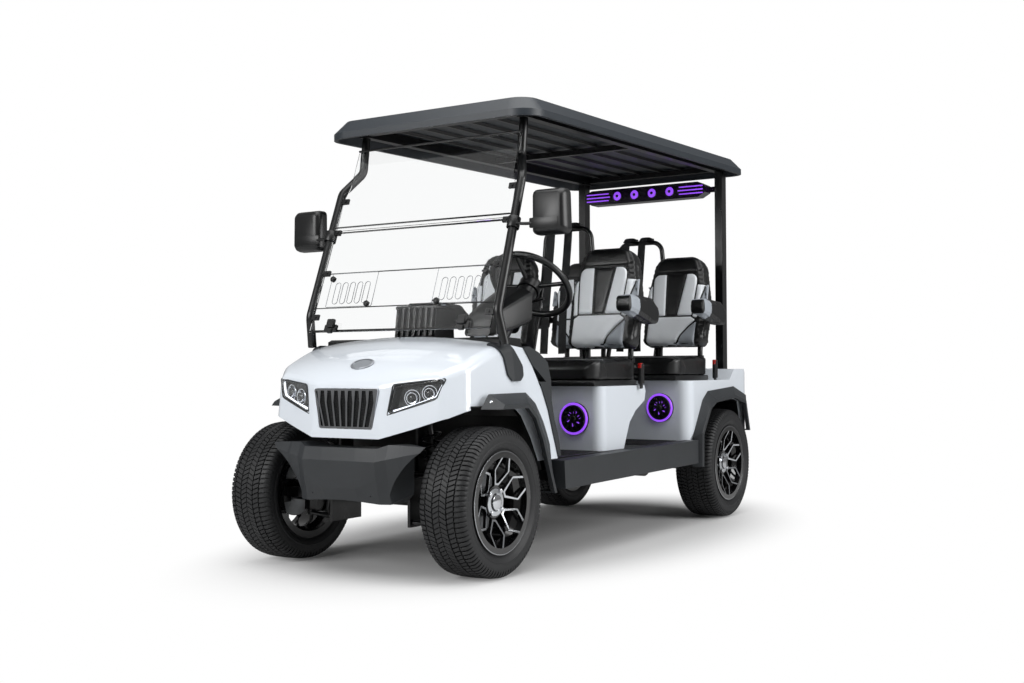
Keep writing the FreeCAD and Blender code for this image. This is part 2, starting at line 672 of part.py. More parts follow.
def steered_tyre(turn, gap):
    """Left front tyre's bounding cylinder, turned about its kingpin and grown by a gap."""
    half = TYRE_WIDTH / 2 + gap
    solid = disc(WHEEL_X - half, WHEEL_X + half, FRONT_AXLE_Y, AXLE_Z, TYRE_DIAMETER / 2 + gap)
    solid.rotate(vec(KINGPIN_X, FRONT_AXLE_Y, 0), vec(0, 0, 1), turn)
    return solid


def front_bumper():
    """Facetted hollow bumper below the nose, with two short brackets to the frame rails."""
    sections = []
    for x, points in BUMPER_SECTIONS:
        outline = [vec(x, NOSE_Y + back, z) for back, z in points]
        sections.append(Part.makePolygon(outline + outline[:1]))
    half = fused([Part.makeLoft(sections[i:i + 2], True, True) for i in range(len(sections) - 1)])
    for turn in (0, -8, -16, -24, -STEER_LOCK):
        half = half.cut(steered_tyre(turn, BUMPER_GAP))
    half = max(half.Solids, key=lambda solid: solid.Volume)
    whole = fused([half, mirrored(half)])
    whole = whole.cut(box(-150, 150, NOSE_Y - 30, NOSE_Y + 140, 316, 484))
    outer = RAIL_X + RAIL_WIDTH / 2
    bracket = box(outer - RAIL_WIDTH, outer, NOSE_Y + 60, RAIL_FRONT_Y - SEAT_GAP, RAIL_BOTTOM + 10, RAIL_TOP - 10)
    return fused([whole, bracket, mirrored(bracket)])


def front_flares():
    """Arch flares of the front wheels, each closed in front by a sloped end."""
    outer, inner = flare(FRONT_ARCH, FRONT_FLARE_FOOT, FRONT_AXLE_Y, FLOOR_HALF, FLARE_BOTTOM)
    tip = vec(BODY_HALF - 56, FRONT_AXLE_Y - 64, 652)
    edge = vec(8, 43, 42)
    lip = vec(101, 37, 0)
    inward = edge.cross(lip).normalize()
    outer = outer.cut(Part.makeCylinder(400, 200, tip, inward * -1))
    inner = inner.cut(Part.makeCylinder(400, 200, tip.add(inward * FLARE_WALL), inward * -1))
    shell = outer.cut(inner).cut(cowl_block(-SEAT_GAP))
    shell = shell.cut(box(0, FLOOR_HALF + SEAT_GAP, FRONT_AXLE_Y, 0, 200, 560))
    return pair(max(shell.Solids, key=lambda solid: solid.Volume))


def rear_flares():
    """Arch flares of the rear wheels; behind the wheel they end at the body's lower edge."""
    outer, inner = flare(REAR_ARCH, REAR_FLARE_FOOT, REAR_AXLE_Y, BODY_HALF + SEAT_GAP, FLARE_BOTTOM)
    inner = inner.cut(box(0, 700, REAR_AXLE_Y, TAIL_Y, 200, BODY_BOTTOM))
    shell = outer.cut(inner).cut(box(0, 700, REAR_AXLE_Y, TAIL_Y, 200, BODY_BOTTOM - 4))
    return pair(max(shell.Solids, key=lambda solid: solid.Volume))


def arch_liners():
    """Sheet liners over the four wheels."""
    x0 = RAIL_X + RAIL_WIDTH / 2 + 44
    front = side_prism(arch_opening(FRONT_ARCH, FRONT_AXLE_Y, 12 - SEAT_GAP), x0, BODY_HALF - 40)
    front = front.cut(side_prism(arch_opening(FRONT_ARCH, FRONT_AXLE_Y, 8), x0 - 5, BODY_HALF))
    front = front.common(box(x0, BODY_HALF, FRONT_AXLE_Y - 120, FLOOR_FRONT_Y - 130, 500, 700))
    rear = side_prism(arch_opening(REAR_ARCH, REAR_AXLE_Y, 12 - SEAT_GAP), 345, BODY_HALF - SKIN - SEAT_GAP)
    rear = rear.cut(side_prism(arch_opening(REAR_ARCH, REAR_AXLE_Y, 8), 349, BODY_HALF + 5))
    rear = rear.common(box(340, BODY_HALF, REAR_BOX_Y + 20, TAIL_Y - 40, 470, 700))
    return Part.makeCompound([front, mirrored(front), rear, mirrored(rear)])


def cowl_trims():
    """Dark leg shields behind the cowl and the covers below the front struts."""
    front = [(y + SEAT_GAP, z) for y, z in SHIELD_FRONT]
    shield = side_prism(front + SHIELD_REAR, FLOOR_HALF - 45, FLARE_OUT_X - 20)
    inside = side_prism([(-1100, 300), (-680, 300), (-680, 700), (-1100, 1000)], FLOOR_HALF - 115, FLOOR_HALF)
    shield = shield.common(cowl_block(-6)).cut(cowl_block(26)).cut(inside)
    shield = max(shield.Solids, key=lambda solid: solid.Volume)
    cover = side_prism(STRUT_COVER, BODY_HALF - 105, BODY_HALF, [0, 20, 14, 14, 20, 30, 0, 20, 0])
    cover = cover.common(cowl_block(-9)).cut(cowl_block(-SEAT_GAP))
    cover = max(cover.Solids, key=lambda solid: solid.Volume)
    low, high = front_strut_points()[:2]
    cover = cover.cut(rod(low, high, STRUT_RADIUS + SEAT_GAP))
    return Part.makeCompound([shield, mirrored(shield), cover, mirrored(cover)])


# Seat boxes and rear body

def front_seat_box():
    """White box under the front seat, open below and under the cushion."""
    outline = [(FRONT_BOX_Y, FLOOR_TOP), (-16, FLOOR_TOP), (46, 551), (109, 604), (205, 651),
               (219, FRONT_BOX_TOP - 30), (205, FRONT_BOX_TOP), (FRONT_BOX_Y, FRONT_BOX_TOP)]
    outer = side_prism(outline, -BOX_HALF, BOX_HALF)
    plan = plan_prism([(BOX_HALF, FRONT_BOX_Y), (BOX_HALF, 400), (-BOX_HALF, 400), (-BOX_HALF, FRONT_BOX_Y)],
                      300, 900, [50, 0, 0, 50])
    outer = outer.common(plan)
    inner = [(FRONT_BOX_Y + SKIN, 300), (-16 - SKIN, 300), (-16 - SKIN, FLOOR_TOP), (41, 554),
             (106, 609), (201, 655), (219 - SKIN, FRONT_BOX_TOP - 30), (204 - SKIN, FRONT_BOX_TOP - SKIN),
             (FRONT_BOX_Y + SKIN, FRONT_BOX_TOP - SKIN)]
    hollow = side_prism(inner, -BOX_HALF + SKIN, BOX_HALF - SKIN)
    hollow = hollow.common(plan_prism([(BOX_HALF - SKIN, FRONT_BOX_Y + SKIN), (BOX_HALF - SKIN, 400),
                                       (-BOX_HALF + SKIN, 400), (-BOX_HALF + SKIN, FRONT_BOX_Y + SKIN)],
                                      300, 900, [46, 0, 0, 46]))
    top_hole = box(-420, 420, FRONT_BOX_Y + 60, 130, FRONT_BOX_TOP - 20, FRONT_BOX_TOP + 20)
    shell = outer.cut(hollow).cut(top_hole)
    for x in (-FRONT_SPEAKER_X, FRONT_SPEAKER_X):
        shell = shell.cut(rod(vec(x, FRONT_BOX_Y - 20, FRONT_SPEAKER_Z), vec(x, FRONT_BOX_Y + 20, FRONT_SPEAKER_Z),
                              SPEAKER_DIAMETER / 2 - 12))
    return shell


def rear_profile(inset):
    """Side outline of the rear body."""
    i = inset
    return [(REAR_BOX_Y + i, FLOOR_TOP), (REAR_BOX_Y + i, REAR_BOX_TOP - i),
            (1180 + i / 2, REAR_BOX_TOP - i), (1240 + i / 2, REAR_DECK_Z - i), (1390 - i / 2, REAR_DECK_Z - i),
            (TAIL_Y - 10 - i, 720), (TAIL_Y - i, BODY_BOTTOM)]


def rear_body():
    """White rear body with the rear seat box, fenders and deck."""
    outer = side_prism(rear_profile(0), -BODY_HALF, BODY_HALF)
    plan = plan_prism([(BODY_HALF, REAR_BOX_Y), (BODY_HALF, TAIL_Y), (-BODY_HALF, TAIL_Y),
                       (-BODY_HALF, REAR_BOX_Y)], 300, 900, [60, 90, 90, 60])
    hollow = side_prism(rear_profile(SKIN), -BODY_HALF + SKIN, BODY_HALF - SKIN)
    below = box(-BODY_HALF + SKIN, BODY_HALF - SKIN, REAR_BOX_Y + SKIN, TAIL_Y - SKIN, 300, BODY_BOTTOM + 20)
    inner_plan = plan_prism([(BODY_HALF - SKIN, REAR_BOX_Y + SKIN), (BODY_HALF - SKIN, TAIL_Y - SKIN),
                             (-BODY_HALF + SKIN, TAIL_Y - SKIN), (-BODY_HALF + SKIN, REAR_BOX_Y + SKIN)],
                            300, 900, [56, 86, 86, 56])
    cavity = fused([hollow, below]).common(inner_plan)
    shell = outer.common(plan).cut(cavity)
    shell = shell.cut(side_prism(arch_opening(REAR_ARCH, REAR_AXLE_Y, 12), -700, 700))
    for x in (-REAR_SPEAKER_X, REAR_SPEAKER_X):
        shell = shell.cut(rod(vec(x, REAR_BOX_Y - 20, REAR_SPEAKER_Z), vec(x, REAR_BOX_Y + 20, REAR_SPEAKER_Z),
                              SPEAKER_DIAMETER / 2 - 12))
    pad = box(-DECK_PAD_HALF, DECK_PAD_HALF, 1255, 1380, REAR_DECK_Z - SKIN / 2, REAR_DECK_Z + DECK_PAD_RISE)
    return fused([shell, pad])


def speaker(x, y, z):
    """Round speaker with a raised lit ring and ribbed cover, facing forward."""
    r = SPEAKER_DIAMETER / 2
    face = rod(vec(x, y - SEAT_GAP, z), vec(x, y - 10, z), r)
    dish = rod(vec(x, y - 6, z), vec(x, y - 12, z), r - 16)
    boss = rod(vec(x, y - SEAT_GAP, z), vec(x, y - 12, z), 18)
    drum = rod(vec(x, y + 35, z), vec(x, y - 4, z), r - 13)
    return fused([face.cut(dish), boss, drum])


def speakers():
    pieces = []
    for x in (-FRONT_SPEAKER_X, FRONT_SPEAKER_X):
        pieces.append(speaker(x, FRONT_BOX_Y, FRONT_SPEAKER_Z))
    for x in (-REAR_SPEAKER_X, REAR_SPEAKER_X):
        pieces.append(speaker(x, REAR_BOX_Y, REAR_SPEAKER_Z))
    return Part.makeCompound(pieces)


def rear_bumper():
    """Dark hollow panel below the body at the tail, over the tow receiver."""
    top = BODY_BOTTOM - 3
    body = side_prism([(RAIL_REAR_Y, top), (TAIL_Y - 2, top), (TAIL_Y, 430), (TAIL_Y - 24, BUMPER_BOTTOM),
                       (RAIL_REAR_Y, BUMPER_BOTTOM)], -370, 370)
    hollow = side_prism([(RAIL_REAR_Y - 1, BUMPER_BOTTOM + 8), (RAIL_REAR_Y - 1, top - 8), (TAIL_Y - 14, top - 8),
                         (TAIL_Y - 12, 432), (TAIL_Y - 30, BUMPER_BOTTOM + 8)], -362, 362)
    return body.cut(hollow)


def tail_lamps():
    lamp = box(BODY_HALF - 120, BODY_HALF - 60, TAIL_Y - 12, TAIL_Y + 8, 560, 660)
    outer = side_prism(rear_profile(0), -BODY_HALF, BODY_HALF)
    return pair(lamp.cut(outer))


# Seats

def cushion(front_y, bottom_z):
    """Bench cushion with rounded edges."""
    outline = [(front_y, bottom_z), (front_y + CUSHION_DEPTH, bottom_z),
               (front_y + CUSHION_DEPTH, bottom_z + CUSHION_THICK), (front_y, bottom_z + CUSHION_THICK - 10)]
    body = side_prism(outline, -BOX_HALF, BOX_HALF, [18, 10, 30, 45])
    plan = plan_prism([(BOX_HALF, front_y), (BOX_HALF, front_y + CUSHION_DEPTH),
                       (-BOX_HALF, front_y + CUSHION_DEPTH), (-BOX_HALF, front_y)],
                      bottom_z - 10, bottom_z + 200, [70, 40, 40, 70])
    return body.common(plan)


def backrest(x_side, row):
    """One person's backrest, narrower at the top and leaning back."""
    outline = [(110, 0), (488, 0), (500, 250), (440, BACK_HEIGHT), (150, BACK_HEIGHT), (100, 250)]
    solid = front_prism(outline, 0, BACK_THICK, [30, 40, 80, 90, 90, 80])
    solid.rotate(vec(0, 0, 0), vec(1, 0, 0), -BACK_LEAN)
    solid.translate(vec(0, FRONT_BACK_Y + row * SEAT_ROW_STEP_Y, FRONT_BACK_Z + row * SEAT_ROW_STEP_Z))
    return solid if x_side > 0 else mirrored(solid)


def backrests(row):
    return Part.makeCompound([backrest(1, row), backrest(-1, row)])


def back_face_y(z_up, row):
    """Rear face of a backrest at a height above its foot."""
    lean = math.radians(BACK_LEAN)
    y = z_up * math.tan(lean) + BACK_THICK / math.cos(lean)
    return FRONT_BACK_Y + row * SEAT_ROW_STEP_Y + y


def hoop_y(row):
    """Place of the belt hoop, just behind the top of the backrests."""
    return back_face_y(BACK_HEIGHT * 0.95, row) + HOOP_RADIUS + 6


def seat_frame(row):
    """Tubes that carry the backrests, the belt hoop and the armrest pins."""
    base_z = FRONT_BOX_TOP if row == 0 else REAR_BOX_TOP
    foot = FRONT_BACK_Z + row * SEAT_ROW_STEP_Z
    y_low = back_face_y(0, row) + SEAT_TUBE + 3.2
    y_top = back_face_y(300, row) + SEAT_TUBE + 3.2
    pieces = []
    for x in (-SEAT_TUBE_OUTER_X, -SEAT_TUBE_INNER_X, SEAT_TUBE_INNER_X, SEAT_TUBE_OUTER_X):
        pieces.append(bent_tube([vec(x, y_low, base_z + 3), vec(x, y_low, foot - 20), vec(x, y_top, foot + 310)],
                                SEAT_TUBE, 60))
        pieces.append(box(x - 24, x + 24, y_low - 24, y_low + 18, base_z + SEAT_GAP, base_z + 6))
    pieces.append(box(-SEAT_TUBE_OUTER_X - 18, SEAT_TUBE_OUTER_X + 18, y_low - 11, y_low + 11, foot - 72, foot - 50))
    y_hoop = hoop_y(row)
    top = HOOP_TOP - HOOP_RADIUS
    hoop = bent_tube([vec(-HOOP_HALF, y_low, foot - 60), vec(-HOOP_HALF, y_hoop, foot + 380),
                      vec(-HOOP_HALF + 20, y_hoop, top), vec(HOOP_HALF - 20, y_hoop, top),
                      vec(HOOP_HALF, y_hoop, foot + 380), vec(HOOP_HALF, y_low, foot - 60)],
                     HOOP_RADIUS, 60)
    pieces.append(hoop)
    pin_y, pin_z = armrest_pin(row)
    y_side = back_face_y(pin_z - foot, row) + SEAT_TUBE + 4
    for side in (-1, 1):
        plate = box(*sorted((side * ARM_PLATE_X, side * (ARM_PLATE_X + 5))), pin_y - 20, y_side + 12,
                    pin_z - 18, pin_z + 18)
        stay = rod(vec(side * SEAT_TUBE_OUTER_X, y_side, pin_z), vec(side * (ARM_PLATE_X + 2), y_side, pin_z), 10)
        pin = rod(vec(side * ARM_PLATE_X, pin_y, pin_z), vec(side * (ARM_PLATE_X + 60), pin_y, pin_z), PIN_RADIUS)
        pieces += [plate, stay, pin]
    return fused(pieces)


def armrest_pin(row):
    """Side-view place of the armrest pin, as (y, z)."""
    y = FRONT_BACK_Y + row * SEAT_ROW_STEP_Y + ARM_PIN_BACK
    z = FRONT_BACK_Z + row * SEAT_ROW_STEP_Z + ARM_PIN_RISE
    return y, z


def armrest(side, row):
    """Padded arm that folds up about a pin beside the backrest."""
    pin_y, pin_z = armrest_pin(row)
    outline = [(pin_y - 285, pin_z + 5), (pin_y - 275, pin_z + 80), (pin_y - 30, pin_z + 75),
               (pin_y + 50, pin_z + 20), (pin_y + 42, pin_z - 58), (pin_y - 40, pin_z - 55)]
    x_in = ARM_PLATE_X + 11
    pad = side_prism(outline, x_in, x_in + 78, [30, 25, 60, 40, 40, 60])
    pad = pad.cut(disc(x_in - 5, ARM_PLATE_X + 65, pin_y, pin_z, PIN_RADIUS + RUNNING_FIT))
    return pad if side > 0 else mirrored(pad)


# Cab

def front_strut_points():
    base = BODY_HALF - 40
    return [vec(base, -1055, 905), vec(base - 15, -1085, 1035), vec(base - 25, -880, 1600),
            vec(ROOF_RAIL_X, -795, 1700), vec(ROOF_RAIL_X, -775, roof_rail_z(-775) - 3)]


def front_struts():
    """Bent tubes from the cowl to the roof."""
    return pair(bent_tube(front_strut_points(), STRUT_RADIUS, 60))


def rear_struts():
    y = REAR_STRUT_Y
    outline = [(y - 30, REAR_DECK_Z), (y + 30, REAR_DECK_Z), (y + 30, roof_rail_z(y + 30)),
               (y - 30, roof_rail_z(y - 30))]
    return pair(side_prism(outline, REAR_STRUT_X - 22, REAR_STRUT_X + 22))


def screen_y(z):
    """The windscreen's plane: its Y at a height, on the struts' long straight run."""
    low, high = front_strut_points()[1:3]
    return low.y + (z - low.z) * (high.y - low.y) / (high.z - low.z)


def pane(half_outline):
    """Flat pane in the windscreen's plane from (x, z) points of its +X half."""
    low, high = front_strut_points()[1:3]
    normal = vec(0, -(high.z - low.z), high.y - low.y).normalize()
    points = [vec(x, screen_y(z), z) for x, z in symmetric(half_outline)]
    face = Part.Face(Part.makePolygon(points + points[:1]))
    face.translate(normal * (-PANE_THICK / 2))
    return face.extrude(normal * PANE_THICK)


def windscreen():
    """Lower and upper clear panes between the struts."""
    low, top = PANE_LOW_X + BODY_HALF, PANE_TOP_X + BODY_HALF
    lower = pane([(low, 966), (low - 8, 1418)])
    upper = pane([(low - 8, 1424), (low - 15, 1560), (top, 1625), (top, 1800)])
    return Part.makeCompound([lower, upper])


def roof():
    """Moulded roof, hollow below, higher at the tail."""
    depth = ROOF_DEPTH
    full = symmetric([(ROOF_HALF - 10, ROOF_FRONT_Y), (ROOF_HALF, ROOF_REAR_Y)])
    low = rounded_wire([vec(x, y, 0) for x, y in full], [110, 90, 90, 110])
    small = symmetric([(ROOF_HALF - 60, ROOF_FRONT_Y + 50), (ROOF_HALF - 50, ROOF_REAR_Y - 50)])
    high = rounded_wire([vec(x, y, depth) for x, y in small], [80, 60, 60, 80])
    mid = rounded_wire([vec(x, y, 28) for x, y in full], [110, 90, 90, 110])
    shell = fused([Part.makeLoft([low, mid], True, True), Part.makeLoft([mid, high], True, True)])
    inner_full = symmetric([(ROOF_HALF - 26, ROOF_FRONT_Y + 16), (ROOF_HALF - 16, ROOF_REAR_Y - 16)])
    pocket_low = rounded_wire([vec(x, y, -5) for x, y in inner_full], [90, 70, 70, 90])
    inner_small = symmetric([(ROOF_HALF - 56, ROOF_FRONT_Y + 46), (ROOF_HALF - 46, ROOF_REAR_Y - 46)])
    pocket_high = rounded_wire([vec(x, y, depth - 20) for x, y in inner_small], [60, 40, 40, 60])
    shell = shell.cut(Part.makeLoft([pocket_low, pocket_high], True, True))
    tilt = math.degrees(math.atan2(ROOF_RISE, ROOF_REAR_Y - ROOF_FRONT_Y))
    shell.rotate(vec(0, ROOF_FRONT_Y, 0), vec(1, 0, 0), tilt)
    shell.translate(vec(0, 0, ROOF_EDGE_Z))
    return shell


def roof_rail_z(y):
    """Underside of the roof rails at a place along the cart."""
    return ROOF_EDGE_Z + 18 + ROOF_RISE / (ROOF_REAR_Y - ROOF_FRONT_Y) * (y - ROOF_FRONT_Y)


def roof_frame():
    """Side rails and cross members under the roof."""
    y0, y1 = -800.0, 1352.0
    height = 46.7
    outline = [(y0, roof_rail_z(y0)), (y1, roof_rail_z(y1)), (y1, roof_rail_z(y1) + height),
               (y0, roof_rail_z(y0) + height)]
    rail = side_prism(outline, ROOF_RAIL_X - 20, ROOF_RAIL_X + 20)
    pieces = [rail, mirrored(rail)]
    for y in (-780.0, 300.0, 1325.0):
        pieces.append(box(-ROOF_RAIL_X, ROOF_RAIL_X, y - 15, y + 15, roof_rail_z(y) + 8, roof_rail_z(y) + 36))
    return fused(pieces)


def sound_bar():
    y = REAR_STRUT_Y - 90
    outline = symmetric([(340, 1775), (385, 1800), (385, 1840), (340, 1862)])
    inner = REAR_STRUT_X - 22
    return fused([front_prism(outline, y, y + 80), box(-inner, inner, y + 62, y + 78, 1805, 1835)])


def mirrors():
    inner = BODY_HALF + 15
    head = front_prism([(inner, 1343), (inner + 145, 1343), (inner + 162, 1360), (inner + 156, 1530), (inner, 1530)],
                       -955, -890, 15)
    arm = rod(vec(inner - 55, -951, 1400), vec(inner + 2, -925, 1400), 10)
    return pair(fused([head, arm]))


def dash():
    half = BODY_HALF - 90
    body = side_prism([(-1008, 790), (-1008, 925), (-985, 935), (-860, 930), (-830, 850), (-880, 780)],
                      -half, half)
    pod = side_prism([(-990, 920), (-965, 1075), (-850, 1060), (-840, 900)], -100, 110)
    flange = box(-half, half, COWL_REAR_Y - 35, -1000, 800, 1000).common(cowl_block(SKIN + SEAT_GAP))
    return fused([body, pod, flange])


def steering_axis():
    tilt = math.radians(STEER_TILT)
    return vec(0, math.sin(tilt), math.cos(tilt))


def steering_wheel():
    axis = steering_axis()
    centre = vec(STEER_X, STEER_Y, STEER_Z)
    torus = Part.makeTorus(STEER_RING, STEER_GRIP, vec(0, 0, 0), vec(0, 0, 1))
    hub = Part.makeCylinder(52, 45, vec(0, 0, -40))
    bore = Part.makeCylinder(SHAFT_RADIUS + RUNNING_FIT, 30, vec(0, 0, -45))
    arms = [rod(vec(40, 0, -10), vec(STEER_RING, 0, 0), 10), rod(vec(-40, 0, -10), vec(-STEER_RING, 0, 0), 10),
            rod(vec(0, -40, -10), vec(0, -STEER_RING, 0), 10)]
    wheel = fused([torus, hub] + arms).cut(bore)
    placement = FreeCAD.Placement(centre, FreeCAD.Rotation(vec(0, 0, 1), axis))
    wheel.Placement = placement
    return wheel


def steering_column():
    axis = steering_axis()
    centre = vec(STEER_X, STEER_Y, STEER_Z)
    top = centre.sub(axis * (40 + 6))
    low = centre.sub(axis * 530)
    shaft = rod(centre.sub(axis * 20), top.sub(axis * 10), SHAFT_RADIUS)
    bracket = box(STEER_X - 30, STEER_X + 30, -890, -760, 800, 850)
    column = fused([rod(top, top.sub(axis * 220), 46), rod(top, low, 24), shaft, bracket])
    return column.cut(dash())


def pedals():
    pieces = []
    y = FLOOR_FRONT_Y + 60
    for x in (STEER_X - 70, STEER_X + 80):
        pad = box(x - 35, x + 35, -12, 0, -45, 45)
        pad.rotate(vec(0, 0, 0), vec(1, 0, 0), 30)
        pad.translate(vec(0, y, 560))
        arm = rod(vec(x, y - 4, 570), vec(x, -862, 800), 8)
        pieces.append(fused([pad, arm]).cut(dash()))
    return Part.makeCompound(pieces)


def seat_belts():
    pieces = []
    for row in (0, 1):
        y = hoop_y(row)
        for x in (-50, 50):
            pieces.append(box(x - 24, x + 24, y - 10, y + 24, HOOP_TOP + SEAT_GAP, HOOP_TOP + 12))
    return Part.makeCompound(pieces)


# Power and running gear

def battery_pack():
    return box(-300, 300, FRONT_BOX_Y + 42, -22, FLOOR_TOP, 660)


def rear_axle():
    y = REAR_AXLE_Y
    outer = WHEEL_X + hub_back_x() - SEAT_GAP
    tip = WHEEL_X + RIM_WIDTH / 2 - 1 - FACE_RECESS - 12
    tube = disc(-outer + 30, outer - 30, y, AXLE_Z, 38)
    stubs = disc(-tip, tip, y, AXLE_Z, SPINDLE_DIAMETER / 2)
    drums = [disc(outer - 62, outer, y, AXLE_Z, 110), disc(-outer, -outer + 62, y, AXLE_Z, 110)]
    diff = disc(-70, 70, y, AXLE_Z, 95)
    motor = disc(75, 250, y + 110, AXLE_Z + 30, 84)
    gearcase = box(40, 90, y - 60, y + 190, AXLE_Z - 60, AXLE_Z + 90)
    return fused([tube, stubs, diff, gearcase, motor] + drums)


def rear_springs():
    """Leaf springs over the axle, with a shackle to the frame at the rear."""
    y = REAR_AXLE_Y
    over = AXLE_Z + 38
    pieces = []
    for x in (-SPRING_X, SPRING_X):
        leaf = side_prism([(y - SPRING_REACH, 340), (y - 40, over), (y + 40, over), (y + SPRING_REACH, 340),
                           (y + SPRING_REACH, 352), (y + 40, over + 20), (y - 40, over + 20),
                           (y - SPRING_REACH, 352)], x - 25, x + 25)
        shackle = side_prism([(y + SPRING_REACH - 24, 345), (y + SPRING_REACH, 345),
                              (y + SPRING_REACH - 50, 425), (y + SPRING_REACH - 74, 425)], x - 20, x + 20)
        pieces.append(fused([leaf, shackle]))
    return Part.makeCompound(pieces)


def rack_y():
    return FRONT_AXLE_Y + RACK_BACK


def steering_rack():
    """Rack housing clamped under a cross member."""
    y = rack_y()
    z = AXLE_Z - RACK_DROP
    tube = ring(-150, 150, y, z, 26, RACK_RADIUS + RUNNING_FIT)
    saddle = box(-120, -80, y - 20, y + 20, z + 10, RAIL_BOTTOM + 10)
    other = box(80, 120, y - 20, y + 20, z + 10, RAIL_BOTTOM + 10)
    bore = disc(-200, 200, y, z, RACK_RADIUS + RUNNING_FIT)
    return fused([tube, saddle, other]).cut(bore)


def tie_rods():
    """Rack bar with the tie rods and their end eyes."""
    y = rack_y()
    z = AXLE_Z - RACK_DROP
    end = KINGPIN_X - 18
    bar = disc(-end, end, y, z, RACK_RADIUS)
    eyes = [Part.makeCylinder(16, 20, vec(s * end, y, z - 10)) for s in (-1, 1)]
    return fused([bar] + eyes)


def wheel_nodes():
    nodes = {}
    for row, axle_y in (("front", FRONT_AXLE_Y), ("rear", REAR_AXLE_Y)):
        for name, side in (("left", 1), ("right", -1)):
            nodes[f"tyre_{row}_{name}"] = tyre(side, axle_y)
            nodes[f"rim_{row}_{name}"] = rim(side, axle_y, PETAL_PHASE)
    return nodes


def build():
    nodes = wheel_nodes()
    for name, side in (("left", 1), ("right", -1)):
        nodes[f"front_hub_{name}"] = front_hub(side)
        nodes[f"knuckle_{name}"] = knuckle(side)
        for row, row_name in enumerate(("front", "rear")):
            nodes[f"armrest_{row_name}_{name}"] = armrest(side, row)
    left = front_suspension()
    nodes["front_suspension"] = Part.makeCompound(left + [mirrored(s) for s in left])
    nodes["frame"] = frame()
    nodes["damper_towers"] = damper_towers()
    nodes["rear_subframe"] = rear_subframe()
    nodes["floor_tray"] = floor_tray()
    nodes["sills"] = sills()
    nodes["front_cowl"] = front_cowl()
    nodes["headlamps"] = headlamps()
    nodes["headlamp_lenses"] = headlamp_lenses()
    nodes["grille"] = grille()
    nodes["front_bumper"] = front_bumper()
    nodes["front_flares"] = front_flares()
    nodes["rear_flares"] = rear_flares()
    nodes["arch_liners"] = arch_liners()
    nodes["cowl_trims"] = cowl_trims()
    nodes["front_seat_box"] = front_seat_box()
    nodes["rear_body"] = rear_body()
    nodes["speakers"] = speakers()
    nodes["rear_bumper"] = rear_bumper()
    nodes["tail_lamps"] = tail_lamps()
    nodes["front_cushion"] = cushion(-287, FRONT_BOX_TOP + SEAT_GAP)
    nodes["rear_cushion"] = cushion(590, REAR_BOX_TOP + SEAT_GAP)
    nodes["front_backrests"] = backrests(0)
    nodes["rear_backrests"] = backrests(1)
    nodes["front_seat_frame"] = seat_frame(0)
    nodes["rear_seat_frame"] = seat_frame(1)
    nodes["seat_belts"] = seat_belts()
    nodes["front_struts"] = front_struts()
    nodes["rear_struts"] = rear_struts()
    nodes["windscreen"] = windscreen()
    nodes["roof"] = roof()
    nodes["roof_frame"] = roof_frame()
    nodes["sound_bar"] = sound_bar()
    nodes["mirrors"] = mirrors()
    nodes["dash"] = dash()
    nodes["steering_wheel"] = steering_wheel()
    nodes["steering_column"] = steering_column()
    nodes["pedals"] = pedals()
    nodes["battery_pack"] = battery_pack()
    nodes["rear_axle"] = rear_axle()
    nodes["rear_springs"] = rear_springs()
    nodes["steering_rack"] = steering_rack()
    nodes["tie_rods"] = tie_rods()
    return nodes


def main():
    os.makedirs("parts", exist_ok=True)
    for name, shape in build().items():
        shape.exportStep(f"parts/{name}.step")
        print(name, "solids", len(shape.Solids), "valid", shape.isValid(), "volume", round(shape.Volume))


main()
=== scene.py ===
import json
import logging
import math
from dataclasses import dataclass
from enum import Enum
from typing import Callable, Sequence

import bmesh
import bpy
from mathutils import Matrix, Vector
from mathutils.bvhtree import BVHTree
from mathutils.geometry import delaunay_2d_cdt

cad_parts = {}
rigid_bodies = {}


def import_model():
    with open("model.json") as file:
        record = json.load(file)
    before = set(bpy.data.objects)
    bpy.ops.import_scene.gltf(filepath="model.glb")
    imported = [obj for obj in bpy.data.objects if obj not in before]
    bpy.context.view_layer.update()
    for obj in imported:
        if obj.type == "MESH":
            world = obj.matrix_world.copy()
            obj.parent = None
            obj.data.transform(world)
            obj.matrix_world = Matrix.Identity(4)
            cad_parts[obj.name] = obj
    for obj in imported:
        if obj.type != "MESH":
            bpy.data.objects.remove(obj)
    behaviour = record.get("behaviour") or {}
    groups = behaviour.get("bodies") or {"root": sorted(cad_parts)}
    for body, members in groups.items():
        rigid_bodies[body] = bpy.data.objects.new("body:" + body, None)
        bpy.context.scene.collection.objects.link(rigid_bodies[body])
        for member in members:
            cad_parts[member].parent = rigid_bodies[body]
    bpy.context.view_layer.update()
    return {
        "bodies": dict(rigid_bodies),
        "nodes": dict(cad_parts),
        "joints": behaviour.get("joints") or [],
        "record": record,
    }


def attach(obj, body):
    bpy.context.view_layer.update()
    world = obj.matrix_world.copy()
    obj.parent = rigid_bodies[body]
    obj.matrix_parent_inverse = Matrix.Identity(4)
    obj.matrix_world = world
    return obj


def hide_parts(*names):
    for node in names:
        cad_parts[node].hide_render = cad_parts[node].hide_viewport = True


LOG = logging.getLogger("cart")
MM = 0.001

Point = tuple[float, float, float]
Flat = tuple[float, float]
Socket = bpy.types.NodeSocket
Tree = bpy.types.NodeTree
Mesh = bpy.types.Mesh
Thing = bpy.types.Object


# Colour and nodes

def linear(hex_colour: str) -> tuple[float, float, float, float]:
    """Turn six sRGB hex digits into linear light with an alpha of 1."""
    parts = [int(hex_colour[i:i + 2], 16) / 255 for i in (0, 2, 4)]
    red, green, blue = (c / 12.92 if c <= 0.04045 else ((c + 0.055) / 1.055) ** 2.4 for c in parts)
    return red, green, blue, 1.0


